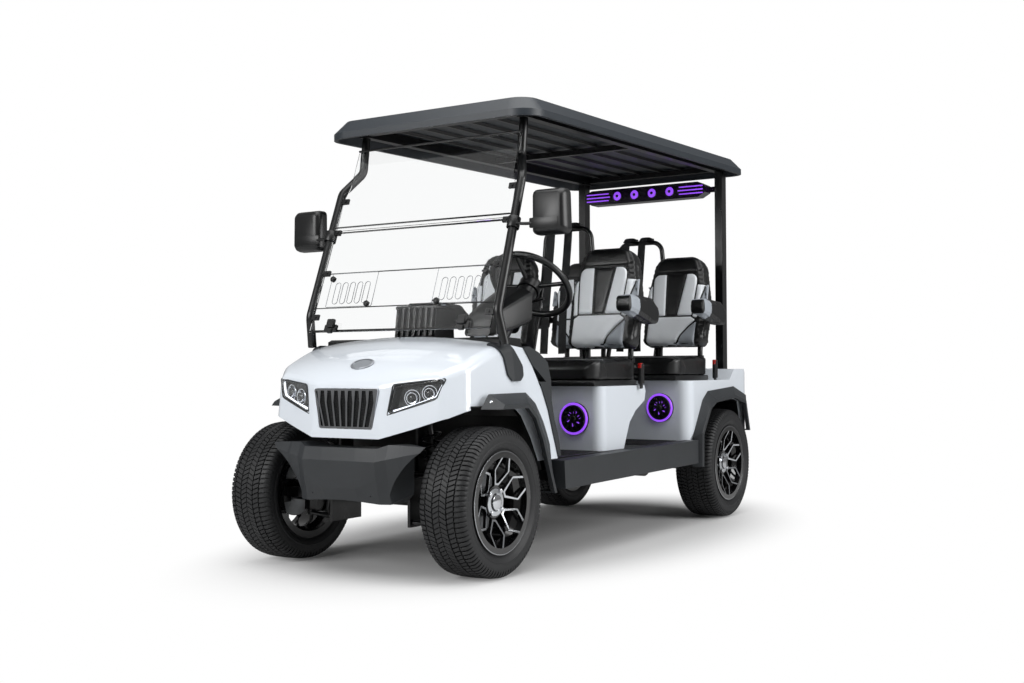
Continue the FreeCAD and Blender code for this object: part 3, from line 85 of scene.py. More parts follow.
def add_node(tree: Tree, kind: str, values: dict | None = None, links: dict | None = None,
             **settings) -> bpy.types.Node:
    """Add one node with its settings, input values and incoming links.

    Args:
        tree: node tree that gets the node.
        kind: the node's type name.
        values: input name or index, and its value.
        links: input name or index, and the output socket that feeds it.
        settings: properties of the node itself.

    Returns:
        The new node.
    """
    made = tree.nodes.new(kind)
    for name, value in settings.items():
        setattr(made, name, value)
    for key, value in (values or {}).items():
        made.inputs[key].default_value = value
    for key, socket in (links or {}).items():
        tree.links.new(socket, made.inputs[key])
    return made


def emptied(data: bpy.types.Material | bpy.types.World) -> Tree:
    """Give the cleared node tree of a material or world."""
    data.use_nodes = True
    data.node_tree.nodes.clear()
    return data.node_tree


class Shade:
    """A surface's nodes under construction, all read in object coordinates."""

    def __init__(self, tree: Tree, values: dict) -> None:
        self.tree = tree
        self.shader = add_node(tree, "ShaderNodeBsdfPrincipled", values)
        add_node(tree, "ShaderNodeOutputMaterial", links={"Surface": self.shader.outputs[0]})
        self.place = add_node(tree, "ShaderNodeTexCoord").outputs["Object"]

    def feed(self, name: str, socket: Socket) -> None:
        """Link a socket to one of the shader's inputs."""
        self.tree.links.new(socket, self.shader.inputs[name])

    def pattern(self, kind: str, size_mm: float, output: str, values: dict, **settings) -> Socket:
        """Add a texture with features of size_mm and give one of its outputs."""
        values = {"Scale": 1 / (size_mm * MM)} | values
        return add_node(self.tree, kind, values, {"Vector": self.place}, **settings).outputs[output]

    def noise(self, size_mm: float, detail: float, distortion: float = 0.0) -> Socket:
        """Add noise."""
        return self.pattern("ShaderNodeTexNoise", size_mm, "Fac", {"Detail": detail, "Distortion": distortion})

    def pebbles(self, size_mm: float, feature: str) -> Socket:
        """Add pebbles."""
        return self.pattern("ShaderNodeTexVoronoi", size_mm, "Distance", {}, feature=feature)

    def bump(self, height: Socket, strength: float, deep_mm: float, under: Socket | None = None) -> Socket:
        """Bend the surface's normal by a height, on top of an earlier bump if one is given."""
        links = {"Height": height} | ({"Normal": under} if under else {})
        made = add_node(self.tree, "ShaderNodeBump", {"Strength": strength, "Distance": deep_mm * MM}, links)
        self.feed("Normal", made.outputs["Normal"])
        return made.outputs["Normal"]

    def span(self, value: Socket, low: float, high: float, start: float = 0.0, end: float = 1.0) -> Socket:
        """Stretch a value that runs from start to end to the range low to high."""
        values = {"From Min": start, "From Max": end, "To Min": low, "To Max": high}
        return add_node(self.tree, "ShaderNodeMapRange", values, {"Value": value}).outputs[0]

    def tint(self, share: Socket, first: Sequence[float], second: Sequence[float]) -> None:
        """Colour the surface between two colours."""
        mix = add_node(self.tree, "ShaderNodeMix", {6: first, 7: second}, {0: share}, data_type="RGBA")
        self.feed("Base Color", mix.outputs[2])


# Finishes

@dataclass(frozen=True)
class Finish:
    """A surface: its material name, colour and gloss."""

    name: str
    colour: str
    roughness: float = 0.5
    metallic: float = 0.0
    ior: float = 1.5
    coat: float = 0.0

    def material(self) -> bpy.types.Material:
        """Build the material once and return it."""
        found = bpy.data.materials.get(self.name)
        if found:
            return found
        made = bpy.data.materials.new(self.name)
        values = {"Base Color": linear(self.colour), "Roughness": self.roughness,
                  "Metallic": self.metallic, "Coat Weight": self.coat, "Coat Roughness": 0.04}
        if not self.metallic:
            values["IOR"] = self.ior
        self.dress(Shade(emptied(made), values))
        return made

    def dress(self, shade: Shade) -> None:
        """Add the surface's pattern; a plain finish has none."""


@dataclass(frozen=True)
class PaintedAbs(Finish):
    """Sprayed two-coat paint on moulded ABS: deep gloss with a faint orange peel."""

    peel_mm: float = 9.0
    drift_mm: float = 400.0
    drift: float = 0.02

    def dress(self, shade: Shade) -> None:
        """Add orange peel and a slow drift of tone."""
        shade.bump(shade.noise(self.peel_mm, 1.0), 0.02, 0.3)
        base = linear(self.colour)
        dull = [c * (1 - self.drift) for c in base[:3]] + [1]
        shade.tint(shade.noise(self.drift_mm, 2.0), dull, base)


@dataclass(frozen=True)
class GrainedPlastic(Finish):
    """Moulded plastic with a leather-like grain."""

    grain_mm: float = 1.6
    depth: float = 0.25
    worn: str = "5a5f65"
    patch_mm: float = 140.0

    def dress(self, shade: Shade) -> None:
        """Add pebbled grain and paler dust in broad patches."""
        shade.bump(shade.pebbles(self.grain_mm, "SMOOTH_F1"), self.depth, self.grain_mm * 0.3)
        dust = shade.span(shade.noise(self.patch_mm, 5.0), 0.0, 0.18, 0.35, 0.8)
        shade.tint(dust, linear(self.colour), linear(self.worn))


@dataclass(frozen=True)
class Vinyl(Finish):
    """Marine upholstery vinyl: fine pebbled grain over soft creases."""

    grain_mm: float = 2.2
    crease_mm: float = 45.0

    def dress(self, shade: Shade) -> None:
        """Add grain, creases and a slight change of gloss."""
        crease = shade.noise(self.crease_mm, 3.0, 0.6)
        fine = shade.bump(shade.pebbles(self.grain_mm, "F1"), 0.12, 0.4)
        shade.bump(crease, 0.12, 6, fine)
        shade.feed("Roughness", shade.span(crease, self.roughness - 0.06, self.roughness + 0.08))


@dataclass(frozen=True)
class FineCoat(Finish):
    """Sprayed or cast metal surface with a fine even texture."""

    grain_mm: float = 0.9
    depth: float = 0.1
    patch_mm: float = 70.0
    swing: float = 0.07

    def dress(self, shade: Shade) -> None:
        """Add a fine even texture and slightly uneven gloss."""
        shade.bump(shade.noise(self.grain_mm, 2.0), self.depth, 0.3)
        gloss = shade.span(shade.noise(self.patch_mm, 4.0), max(self.roughness - self.swing, 0.02),
                           self.roughness + self.swing)
        shade.feed("Roughness", gloss)


@dataclass(frozen=True)
class ClearSheet(Finish):
    """Clear sheet or lens that light passes through."""

    smear_mm: float = 120.0

    def dress(self, shade: Shade) -> None:
        """Let light through, with faint smears in the gloss."""
        shade.shader.inputs["Transmission Weight"].default_value = 1.0
        smear = shade.noise(self.smear_mm, 3.0)
        shade.feed("Roughness", shade.span(smear, self.roughness, self.roughness + 0.02))


@dataclass(frozen=True)
class Glow(Finish):
    """Lit diffuser strip."""

    strength: float = 2.0
    spot_mm: float = 18.0

    def dress(self, shade: Shade) -> None:
        """Make the strip give light, a little uneven from its lamps."""
        shade.shader.inputs["Emission Color"].default_value = linear(self.colour)
        level = shade.span(shade.noise(self.spot_mm, 1.0), self.strength * 0.8, self.strength * 1.2)
        shade.feed("Emission Strength", level)


class Skin(Enum):
    """Every finish of the cart."""

    # Sprayed ABS body panels: cool white, sharp clear-coat highlights
    WHITE = PaintedAbs("white_clearcoat_abs", "d8dee5", 0.28, coat=1.0)
    # Moulded polyolefin trims: pebble grain, no shine
    TRIM = GrainedPlastic("grained_grey_polyolefin", "212427", 0.5, worn="363a3e")
    # Injection-moulded ABS: satin black
    BLACK = GrainedPlastic("satin_black_abs", "0b0c0d", 0.36, grain_mm=1.0, depth=0.12, worn="17181a")
    # Powder-coated steel tube: fine texture, satin
    STEEL = FineCoat("black_powder_coat", "08090a", 0.3, depth=0.15)
    # Moulded roof skin: satin, dark blue-grey
    ROOF = GrainedPlastic("blue_grey_roof_abs", "20262c", 0.45, grain_mm=2.0, depth=0.05, worn="2e353c")
    # Satin plate of the blank badge
    PLATE = FineCoat("satin_grey_plate", "7d8186", 0.4, coat=0.2, depth=0.03)
    # Brushed rim of the blank badge
    BRUSHED = FineCoat("brushed_zinc_plate", "8e9196", 0.45, metallic=0.6, depth=0.03)
    # Smoked acrylic over purple lamps: dark smoke of its own, with the lamps' glow painted on as a purple tint
    SMOKED = Finish("smoked_purple_acrylic", "14071f", 0.16, coat=0.4)
    # Chrome plate on moulded plastic
    CHROME = FineCoat("bright_chrome_plate", "d6d8dc", 0.08, metallic=1.0, depth=0.01)
    # Die-cast alloy: gloss black lacquer
    RIM_BLACK = FineCoat("gloss_black_alloy", "0a0a0b", 0.14, coat=0.6, depth=0.03)
    # Lathe-turned alloy under clear lacquer
    RIM_BRIGHT = FineCoat("turned_bright_alloy", "cfd2d6", 0.18, metallic=1.0, depth=0.05)
    # Carbon-black tread rubber: dull, slightly blue
    RUBBER = FineCoat("tread_rubber", "101113", 0.55, grain_mm=2.5, depth=0.3)
    # Cast iron discs and hubs
    IRON = FineCoat("machined_cast_iron", "8a8c8e", 0.4, metallic=1.0, depth=0.2)
    # Upholstery vinyl: black, pale grey and mid grey panels
    VINYL_BLACK = Vinyl("black_marine_vinyl", "0a0b0c", 0.34)
    VINYL_PALE = Vinyl("pale_grey_marine_vinyl", "e6eaee", 0.42)
    VINYL_MID = Vinyl("mid_grey_marine_vinyl", "989ea5", 0.44)
    # Cast acrylic sheet: nearly colourless
    ACRYLIC = ClearSheet("clear_acrylic_sheet", "fdfefe", 0.01, ior=1.45)
    # Moulded polycarbonate lamp cover
    LENS = ClearSheet("clear_polycarbonate_lens", "fafcfd", 0.01, ior=1.45)
    # Silvered glass
    MIRROR = FineCoat("silvered_mirror_glass", "e8eaec", 0.02, metallic=1.0, depth=0.0)
    # Dyed acrylic: red tail lamp and belt button
    RED = Finish("red_acrylic", "b3150f", 0.15, coat=0.5)
    # Lit purple diffusers
    PURPLE = Glow("lit_purple_diffuser", "8f4bea", 0.4, strength=1.0)
    # Lit clear diffuser of the lamps' light strip
    LIGHT = Glow("lit_clear_diffuser", "f4f7ff", 0.3, strength=1.2)
    # Woven polyester
    WEBBING = GrainedPlastic("black_polyester_webbing", "161719", 0.7, grain_mm=1.4, depth=0.5, worn="2a2b2e")


# Building forms

def rounded(points: Sequence[Flat], radii: Sequence[float] | float, steps: int = 5) -> list[Flat]:
    """Round the corners of a closed flat outline.

    Args:
        points: corners in order.
        radii: one radius for all corners, or one each.
        steps: points per rounded corner.

    Returns:
        The outline with an arc of points at each rounded corner.
    """
    made: list[Flat] = []
    count = len(points)
    for i, corner in enumerate(points):
        radius = radii if isinstance(radii, (int, float)) else radii[i]
        here = Vector(corner)
        if radius <= 0:
            made.append(corner)
            continue
        before = (Vector(points[i - 1]) - here).normalized()
        after = (Vector(points[(i + 1) % count]) - here).normalized()
        half = before.angle(after) / 2
        centre = here + (before + after).normalized() * (radius / math.sin(half))
        first = here + before * (radius / math.tan(half)) - centre
        last = here + after * (radius / math.tan(half)) - centre
        for k in range(steps + 1):
            share = k / steps
            made.append(tuple(centre + (first * (1 - share) + last * share).normalized() * radius))
    return made


def sides(outline: Sequence) -> zip:
    """Pair each point of a closed outline with the next."""
    return zip(outline, [*outline[1:], outline[0]])


def stepped(outline: Sequence[Flat], step: float) -> list[Flat]:
    """Split the long sides of a closed outline into steps."""
    made: list[Flat] = []
    for near, far in sides(outline):
        parts = max(1, round((Vector(far) - Vector(near)).length / step))
        made += [tuple(Vector(near).lerp(Vector(far), k / parts)) for k in range(parts)]
    return made


def depth(outline: Sequence[Vector], spot: Vector) -> float:
    """Give how far a spot lies inside a closed outline; outside it is negative."""
    nearest = math.inf
    inside = False
    for near, far in sides(outline):
        side = far - near
        share = min(max((spot - near).dot(side) / max(side.length_squared, 1e-9), 0), 1)
        nearest = min(nearest, (spot - near - side * share).length)
        if (near.y > spot.y) != (far.y > spot.y):
            inside ^= spot.x < near.x + (spot.y - near.y) / (far.y - near.y) * (far.x - near.x)
    return nearest if inside else -nearest


def circle(radius: float, steps: int) -> list[Flat]:
    """Give the points of a circle round the origin."""
    turn = 2 * math.pi / steps
    return [(radius * math.cos(turn * i), radius * math.sin(turn * i)) for i in range(steps)]


def shrunk(outline: Sequence[Flat], inset: float) -> list[Flat]:
    """Move each point of an outline towards its middle by an inset."""
    if not inset:
        return list(outline)
    middle = sum((Vector(p) for p in outline), Vector((0, 0))) / len(outline)
    return [tuple(Vector(p) - (Vector(p) - middle).normalized() * inset) for p in outline]


def bent(points: Sequence[Point], bend: float, steps: int = 5) -> list[Vector]:
    """Round the corners of an open line in space."""
    made = [Vector(points[0])]
    for before, here, after in zip(points, points[1:], points[2:]):
        corner = Vector(here)
        back = Vector(before) - corner
        on = Vector(after) - corner
        reach = min(bend, back.length * 0.45, on.length * 0.45)
        for k in range(steps + 1):
            share = k / steps
            start = corner + back.normalized() * reach * (1 - share) ** 2
            made.append(start + on.normalized() * reach * share ** 2)
    made.append(Vector(points[-1]))
    return made


def frame_at(origin: Point, along: Point, side: Point = (1, 0, 0)) -> Matrix:
    """Make a local frame, in millimetres.

    Args:
        origin: its origin.
        along: the way its Z points.
        side: roughly the way its X points.
    """
    z = Vector(along).normalized()
    y = z.cross(Vector(side)).normalized()
    return Matrix.Translation(origin) @ Matrix((y.cross(z), y, z)).transposed().to_4x4()


# (x, z) outlines pushed along Y, and (y, z) outlines along X
FACING_FRONT = Matrix(((1, 0, 0, 0), (0, 0, 1, 0), (0, 1, 0, 0), (0, 0, 0, 1)))
FACING_SIDE = Matrix(((0, 0, 1, 0), (1, 0, 0, 0), (0, 1, 0, 0), (0, 0, 0, 1)))
STILL = Matrix.Identity(4)
MIRROR_X = Matrix.Diagonal((-1, 1, 1, 1))
AXLE = frame_at((0, 0, 0), (1, 0, 0), (0, 0, 1))
AXLE_Y = {"front": -1188.0, "rear": 1083.0}


def linked(name: str, data: bpy.types.ID) -> Thing:
    """Make an object of some data and link it to the scene."""
    made = bpy.data.objects.new(name, data)
    bpy.context.scene.collection.objects.link(made)
    return made


def moved(data: Mesh, place: Matrix) -> None:
    """Move mesh data by a frame in millimetres, its faces kept outward."""
    data.transform(Matrix.Scale(MM, 4) @ place @ Matrix.Scale(1 / MM, 4))
    if place.determinant() < 0:
        data.flip_normals()


def finish_piece(data: Mesh, name: str, skin: Skin, body: str, crease: float = 35.0,
                 place: Matrix = STILL) -> Thing:
    """Link a mesh as an object with its finish, on its body.

    Args:
        data: the mesh, in metres.
        name: the object's name.
        skin: its finish.
        body: the CAD body that carries it.
        crease: edges sharper than this many degrees stay sharp.
        place: a last move, in millimetres.
    """
    moved(data, place)
    data.shade_smooth()
    data.set_sharp_from_angle(angle=math.radians(crease))
    data.materials.clear()
    data.materials.append(skin.value.material())
    made = linked(name, data)
    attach(made, body)
    LOG.info("%s: %d faces", name, len(data.polygons))
    return made


def copied(piece: Thing, name: str, place: Matrix, body: str) -> Thing:
    """Copy a piece to another place, in millimetres, on a body."""
    data = piece.data.copy()
    moved(data, place)
    made = linked(name, data)
    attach(made, body)
    return made


class Form:
    """A mesh under construction, written in millimetres and kept in metres."""

    def __init__(self) -> None:
        self.mesh = bmesh.new()

    def loft(self, rings: Sequence[Sequence[Point]], place: Matrix = STILL, looped: bool = False,
             closed: bool = True) -> "Form":
        """Join rings of equally many points, one after another, and return the form.

        Args:
            rings: rings of points.
            place: local frame of the points.
            looped: join the last ring to the first; else both ends are capped.
            closed: join each ring's last point to its first.
        """
        made = [[self.mesh.verts.new((place @ Vector(p)) * MM) for p in ring] for ring in rings]
        count = len(made[0])
        following = made[1:] + made[:1] if looped else made[1:]
        for near, far in zip(made, following):
            for i in range(count if closed else count - 1):
                j = (i + 1) % count
                self.mesh.faces.new((near[i], near[j], far[j], far[i]))
        if not looped:
            self.mesh.faces.new(made[0][::-1])
            self.mesh.faces.new(made[-1])
        return self

    def prism(self, outline: Sequence[Flat], low: float, high: float, place: Matrix = STILL,
              edge: float = 0.0) -> "Form":
        """Push a flat outline along the local Z from low to high, with chamfered ends."""
        levels = [(low, edge), (high, edge)]
        if edge:
            levels[1:1] = [(low + edge, 0), (high - edge, 0)]
        return self.loft([[(x, y, z) for x, y in shrunk(outline, inset)] for z, inset in levels], place)

    def box(self, low: Point, high: Point, edge: float = 0.0, place: Matrix = STILL) -> "Form":
        """Add a block with chamfered edges between two corners."""
        corners = [(low[0], low[1]), (high[0], low[1]), (high[0], high[1]), (low[0], high[1])]
        return self.prism(rounded(corners, edge, 2), low[2], high[2], place, edge * 0.8)

    def lathe(self, profile: Sequence[Flat], place: Matrix, steps: int = 48, closed: bool = True) -> "Form":
        """Turn an (r, z) profile about the local Z; a closed one is a ring of material."""
        turns = [2 * math.pi * i / steps for i in range(steps)]
        rings = [[(r * math.cos(turn), r * math.sin(turn), z) for r, z in profile] for turn in turns]
        return self.loft(rings, place, looped=True, closed=closed)

    def tube(self, points: Sequence[Point], radius: float, bend: float = 0.0, steps: int = 12,
             flat: float = 1.0) -> "Form":
        """Sweep a round or flattened section along a bent line.

        Args:
            points: corners of the line.
            radius: half the section's width.
            bend: radius of the bends.
            steps: points round the section.
            flat: height of the section over its width.
        """
        path = bent(points, bend)
        rings = []
        for i, here in enumerate(path):
            ahead = path[min(i + 1, len(path) - 1)] - path[max(i - 1, 0)]
            guide = Vector((0, 0, 1)) if abs(ahead.normalized().z) < 0.9 else Vector((0, 1, 0))
            side = ahead.cross(guide).normalized()
            up = side.cross(ahead).normalized()
            rings.append([here + side * x + up * y * flat for x, y in circle(radius, steps)])
        return self.loft(rings)

    def baked(self, name: str, bevel: float = 0.0) -> Mesh:
        """Turn the form into mesh data, its sharp edges bevelled by some millimetres."""
        bmesh.ops.recalc_face_normals(self.mesh, faces=self.mesh.faces)
        if bevel:
            least = math.radians(30)
            sharp = [e for e in self.mesh.edges if len(e.link_faces) == 2 and e.calc_face_angle(0) > least]
            bmesh.ops.bevel(self.mesh, geom=sharp, offset=bevel * MM, segments=2, profile=0.6,
                            affect="EDGES", clamp_overlap=True)
        data = bpy.data.meshes.new(name)
        self.mesh.to_mesh(data)
        self.mesh.free()
        return data

    def piece(self, name: str, skin: Skin, body: str = "chassis", bevel: float = 0.0, crease: float = 35.0,
              place: Matrix = STILL) -> Thing:
        """Turn the form into an object that rides on a body; the rest is as in finish_piece."""
        return finish_piece(self.baked(name, bevel), name, skin, body, crease, place)


def both_sides(build: Callable[[Form], None], name: str, skin: Skin, body: str = "chassis") -> None:
    """Make a piece of the cart's left side and its mirror image."""
    form = Form()
    build(form)
    copied(form.piece(f"{name}_left", skin, body), f"{name}_right", MIRROR_X, body)


# Wheels

@dataclass(frozen=True)
class Tread:
    """One tyre: carcass and tread blocks round its X axis, in millimetres."""

    crown: float = 291.6
    groove: float = 8.0
    pitches: int = 92

    def top(self, x: float) -> float:
        """Give the tread's radius at a distance from the middle plane."""
        stations = ((0, 0.0), (62, 1.6), (86, 5.6), (95, 12.0), (100, 19.5), (103.6, 30.0))
        x = abs(x)
        for (x0, d0), (x1, d1) in zip(stations, stations[1:]):
            if x <= x1:
                return self.crown - d0 - (d1 - d0) * (x - x0) / (x1 - x0)
        return self.crown - stations[-1][1]

    def block(self, form: Form, xs: Sequence[float], width: float, skew: float, shift: float = 0.0) -> None:
        """Add one tread block along X.

        Args:
            form: the form that gets it.
            xs: stations across the tyre.
            width: size along the tread.
            skew: how far its end stands ahead of its start.
            shift: its start's place along the tread.
        """
        rings = []
        for x in xs:
            top = self.top(x)
            low = top - self.groove - 1.5
            middle = shift + skew * (x - xs[0]) / (xs[-1] - xs[0])
            half = width / 2
            ring = []
            for radius, along in ((low, -half - 0.6), (top - 1.1, -half), (top, -half + 1.0),
                                  (top, half - 1.0), (top - 1.1, half), (low, half + 0.6)):
                turn = (middle + along) / self.crown
                ring.append((x, radius * math.sin(turn), radius * math.cos(turn)))
            rings.append(ring)
        form.loft(rings)

    def pitch(self) -> Mesh:
        """Build the blocks of one pitch, for the repeat."""
        form = Form()
        step = 2 * math.pi * self.crown / self.pitches
        for side in (1, -1):
            for xs, width, skew, shift in (((67, 78, 86, 92, 97, 101, 103), 0.72, 0.25, 0),
                                           ((34, 48, 62), 0.76, 0.55, -0.35), ((1.5, 14, 29), 0.82, -0.7, 0.1)):
                self.block(form, [side * x for x in xs], step * width, step * skew, step * shift)
        return form.baked("pitch")

    def carcass(self) -> Mesh:
        """Turn the tyre's body below the blocks, with ribs on its sidewalls."""
        form = Form()
        deep = self.groove
        half = [(179, 86), (204, 88), (212, 95), (222, 100.5), (227, 101.8), (229, 103.4), (232, 103.4),
                (234, 102.4), (246, 103.6), (252, 103.6), (258, 102.6), (262, 101.2), (270, 96.5),
                (self.top(86) - deep, 86), (self.top(62) - deep, 62), (self.crown - deep, 0)]
        form.lathe(half + [(r, -x) for r, x in reversed(half[:-1])], AXLE, 96, closed=False)
        return form.baked("carcass")

    def repeat_tree(self) -> Tree:
        """Make the node group that sets the pitch round the tyre."""
        tree = bpy.data.node_groups.new("tread_repeat", "GeometryNodeTree")
        for name, way, kind in (("Carcass", "INPUT", "Geometry"), ("Pitch", "INPUT", "Object"),
                                ("Count", "INPUT", "Int"), ("Rubber", "INPUT", "Material"),
                                ("Tyre", "OUTPUT", "Geometry")):
            tree.interface.new_socket(name, in_out=way, socket_type=f"NodeSocket{kind}")
        entry = add_node(tree, "NodeGroupInput").outputs
        info = add_node(tree, "GeometryNodeObjectInfo", links={"Object": entry["Pitch"]})
        points = add_node(tree, "GeometryNodeMeshLine", {"Offset": (0, 0, 0)}, {"Count": entry["Count"]})
        index = add_node(tree, "GeometryNodeInputIndex")
        step = add_node(tree, "ShaderNodeMath", {0: 2 * math.pi}, {1: entry["Count"]}, operation="DIVIDE")
        turn = add_node(tree, "ShaderNodeMath", links={0: index.outputs[0], 1: step.outputs[0]},
                        operation="MULTIPLY")
        euler = add_node(tree, "ShaderNodeCombineXYZ", links={"X": turn.outputs[0]})
        spin = add_node(tree, "FunctionNodeEulerToRotation", links={"Euler": euler.outputs[0]})
        placed = add_node(tree, "GeometryNodeInstanceOnPoints",
                          links={"Points": points.outputs["Mesh"], "Instance": info.outputs["Geometry"],
                                 "Rotation": spin.outputs[0]})
        real = add_node(tree, "GeometryNodeRealizeInstances", links={"Geometry": placed.outputs[0]})
        whole = add_node(tree, "GeometryNodeJoinGeometry")
        for socket in (real.outputs[0], entry["Carcass"]):
            tree.links.new(socket, whole.inputs[0])
        coat = add_node(tree, "GeometryNodeSetMaterial", links={"Geometry": whole.outputs[0],
                                                                "Material": entry["Rubber"]})
        add_node(tree, "NodeGroupOutput", links={0: coat.outputs[0]})
        return tree

    def mesh(self) -> Mesh:
        """Build the whole tyre about the X axis and convert it."""
        base = linked("carcass", self.carcass())
        pitch = linked("pitch", self.pitch())
        values = {"Pitch": pitch, "Count": self.pitches, "Rubber": Skin.RUBBER.value.material()}
        made = converted(base, self.repeat_tree(), values)
        bpy.data.objects.remove(base)
        bpy.data.objects.remove(pitch)
        return made


def evaluated(piece: Thing) -> Mesh:
    """Give a piece's mesh with its modifiers applied."""
    graph = bpy.context.evaluated_depsgraph_get()
    return bpy.data.meshes.new_from_object(piece.evaluated_get(graph), depsgraph=graph)


def converted(piece: Thing, tree: Tree, values: dict) -> Mesh:
    """Run a node group on an object and return a mesh that depends on nothing else.

    Args:
        piece: the object that the group starts from.
        tree: the geometry node group.
        values: value of each named input.
    """
    modifier = piece.modifiers.new("nodes", "NODES")
    modifier.node_group = tree
    for item in tree.interface.items_tree:
        if item.item_type == "SOCKET" and item.in_out == "INPUT" and item.name in values:
            modifier[item.identifier] = values[item.name]
    piece.update_tag()
    made = evaluated(piece)
    piece.modifiers.remove(modifier)
    return made


@dataclass(frozen=True)
class Wheel:
    """One wheel's looks: tyre, machined spoke faces, hub and blank cap."""

    row: str
    side: int
    y: float
    x: float = 485.0
    z: float = 292.0
    lip: float = 94.0
    recess: float = 38.0
    bolts: float = 50.8
    phase: float = -8.0

    def dish(self, radius: float) -> float:
        """Give the spoke face's X at a radius, from the wheel's middle plane."""
        share = min(max((radius - 60) / (177 - 60), 0), 1)
        return self.lip - self.recess * (1 - share)

    def window(self, form: Form, outer: Sequence[Flat], inner: Sequence[Flat], turn: float) -> None:
        """Lay a bright line between two (across, radius) outlines on the spoke face."""
        rings = [[(self.dish(math.hypot(t, r)) + lift, t, r) for t, r in points]
                 for lift, points in ((-1.5, outer), (0.5, outer), (0.5, inner), (-1.5, inner))]
        form.loft(rings, Matrix.Rotation(turn, 4, "X"), looped=True)

    def face(self, x: float) -> Matrix:
        """Give a frame on the axle at an X from the wheel's middle plane."""
        return AXLE @ Matrix.Translation((0, 0, x))

    def bright(self) -> Form:
        """Build the windows' edges, the hub's ring and the two rings of the lip."""
        form = Form()
        radii = (3, 3, 6, 4, 4, 6)
        inner = rounded([(-7.5, 73), (7.5, 73), (44, 121), (20, 174), (-20, 174), (-44, 121)], radii, 3)
        outer = rounded([(-13, 66), (13, 66), (51, 122), (26, 179), (-26, 179), (-51, 122)], radii, 3)
        for i in range(6):
            self.window(form, outer, inner, math.radians(self.phase + i * 60))
        hub, lip = self.face(self.lip - self.recess), self.face(self.lip)
        form.lathe([(54.5, -2), (54.5, 4), (52.5, 5.5), (36, 6.5), (33, 5), (33, -2)], hub, 64)
        form.lathe([(178, -4), (178, 0.6), (181.5, 1.0), (181.5, -4)], lip, 96)
        return form.lathe([(195.5, -2), (196, 1.4), (199.5, 0.6), (199.8, -2)], lip, 96)

    def cap(self) -> Form:
        """Build the blank cap and the four nuts."""
        hub = self.lip - self.recess
        dome = [(31, 9), (30, 12.4), (26, 13.8), (6, 14.6), (0.5, 14.7)]
        form = Form().lathe(dome, self.face(hub), closed=False)
        for i in range(4):
            turn = math.radians(self.phase + 45 + i * 90)
            nut = frame_at((0, self.bolts * math.sin(turn), self.bolts * math.cos(turn)), (1, 0, 0), (0, 0, 1))
            form.prism(circle(9.5, 6), hub - 8, hub + 13, nut, 2)
        return form

    def build(self, tyre: Mesh) -> None:
        """Add the tyre and the bright parts of the rim."""
        name = f"{self.row}_{'left' if self.side > 0 else 'right'}"
        place = Matrix.Translation((self.side * self.x, self.y, self.z)) @ Matrix.Diagonal((self.side, 1, 1, 1))
        whole = finish_piece(tyre.copy(), f"tread_{name}", Skin.RUBBER, f"wheel_{name}", 30, place)
        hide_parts(f"tyre_{name}")
        self.bright().piece(f"rim_face_{name}", Skin.RIM_BRIGHT, f"wheel_{name}", 0.0, 30, place)
        self.cap().piece(f"wheel_cap_{name}", Skin.CHROME, f"wheel_{name}", 0.0, 30, place)


def build_wheels() -> None:
    """Dress all four wheels."""
    tyre = Tread().mesh()
    for row, y in AXLE_Y.items():
        for side in (1, -1):
            Wheel(row, side, y).build(tyre)
    LOG.info("wheels dressed")


# Seats

@dataclass(frozen=True)
class Puff:
    """How a padded piece is swelled from its CAD solid, in millimetres."""

    voxel: float = 6.0
    pressure: float = 4.0
    cap: float = 12.0
    shrink: float = 6.0
    frames: int = 20

    def start(self, node: Thing, left_only: bool, floor: float | None) -> Mesh:
        """Copy a CAD node's mesh, a little smaller all round."""
        work = bmesh.new()
        work.from_mesh(node.data)
        if left_only:
            bmesh.ops.delete(work, geom=[v for v in work.verts if v.co.x < 0], context="VERTS")
        low = Vector([min(v.co[i] for v in work.verts) for i in range(3)])
        high = Vector([max(v.co[i] for v in work.verts) for i in range(3)])
        if floor is not None:
            low.z = floor * MM - self.shrink * MM
            for v in work.verts:
                v.co.z = max(v.co.z, floor * MM)
        middle = (low + high) / 2
        for v in work.verts:
            for i in range(3):
                v.co[i] = middle[i] + (v.co[i] - middle[i]) * (1 - 2 * self.shrink * MM / (high[i] - low[i]))
        data = bpy.data.meshes.new("pad")
        work.to_mesh(data)
        work.free()
        return data

    def swell(self, pad: Thing) -> Mesh:
        """Run the cloth simulation on a pad and return its last shape."""
        cloth = pad.modifiers.new("cloth", "CLOTH")
        cloth.settings.use_pressure = True
        cloth.settings.uniform_pressure_force = self.pressure
        cloth.settings.effector_weights.gravity = 0
        cloth.point_cache.frame_start = 1
        cloth.point_cache.frame_end = self.frames
        for frame in range(1, self.frames + 1):
            bpy.context.scene.frame_set(frame)
        made = evaluated(pad)
        bpy.context.scene.frame_set(1)
        return made

    def mesh(self, node: Thing, left_only: bool = False, floor: float | None = None) -> Mesh:
        """Swell a copy of a CAD node.

        Args:
            node: the CAD node that is copied.
            left_only: keep only what lies on the cart's left.
            floor: lift the underside to this height in millimetres.

        Returns:
            The swelled mesh, in metres.
        """
        pad = linked("pad", self.start(node, left_only, floor))
        remesh = pad.modifiers.new("remesh", "REMESH")
        remesh.mode = "VOXEL"
        remesh.voxel_size = self.voxel * MM
        first = evaluated(pad)
        pad.modifiers.remove(remesh)
        pad.data = first
        made = self.swell(pad)
        for v, old in zip(made.vertices, first.vertices):
            move = v.co - old.co
            if move.length > self.cap * MM:
                v.co = old.co + move.normalized() * self.cap * MM
        bpy.data.objects.remove(pad)
        return made


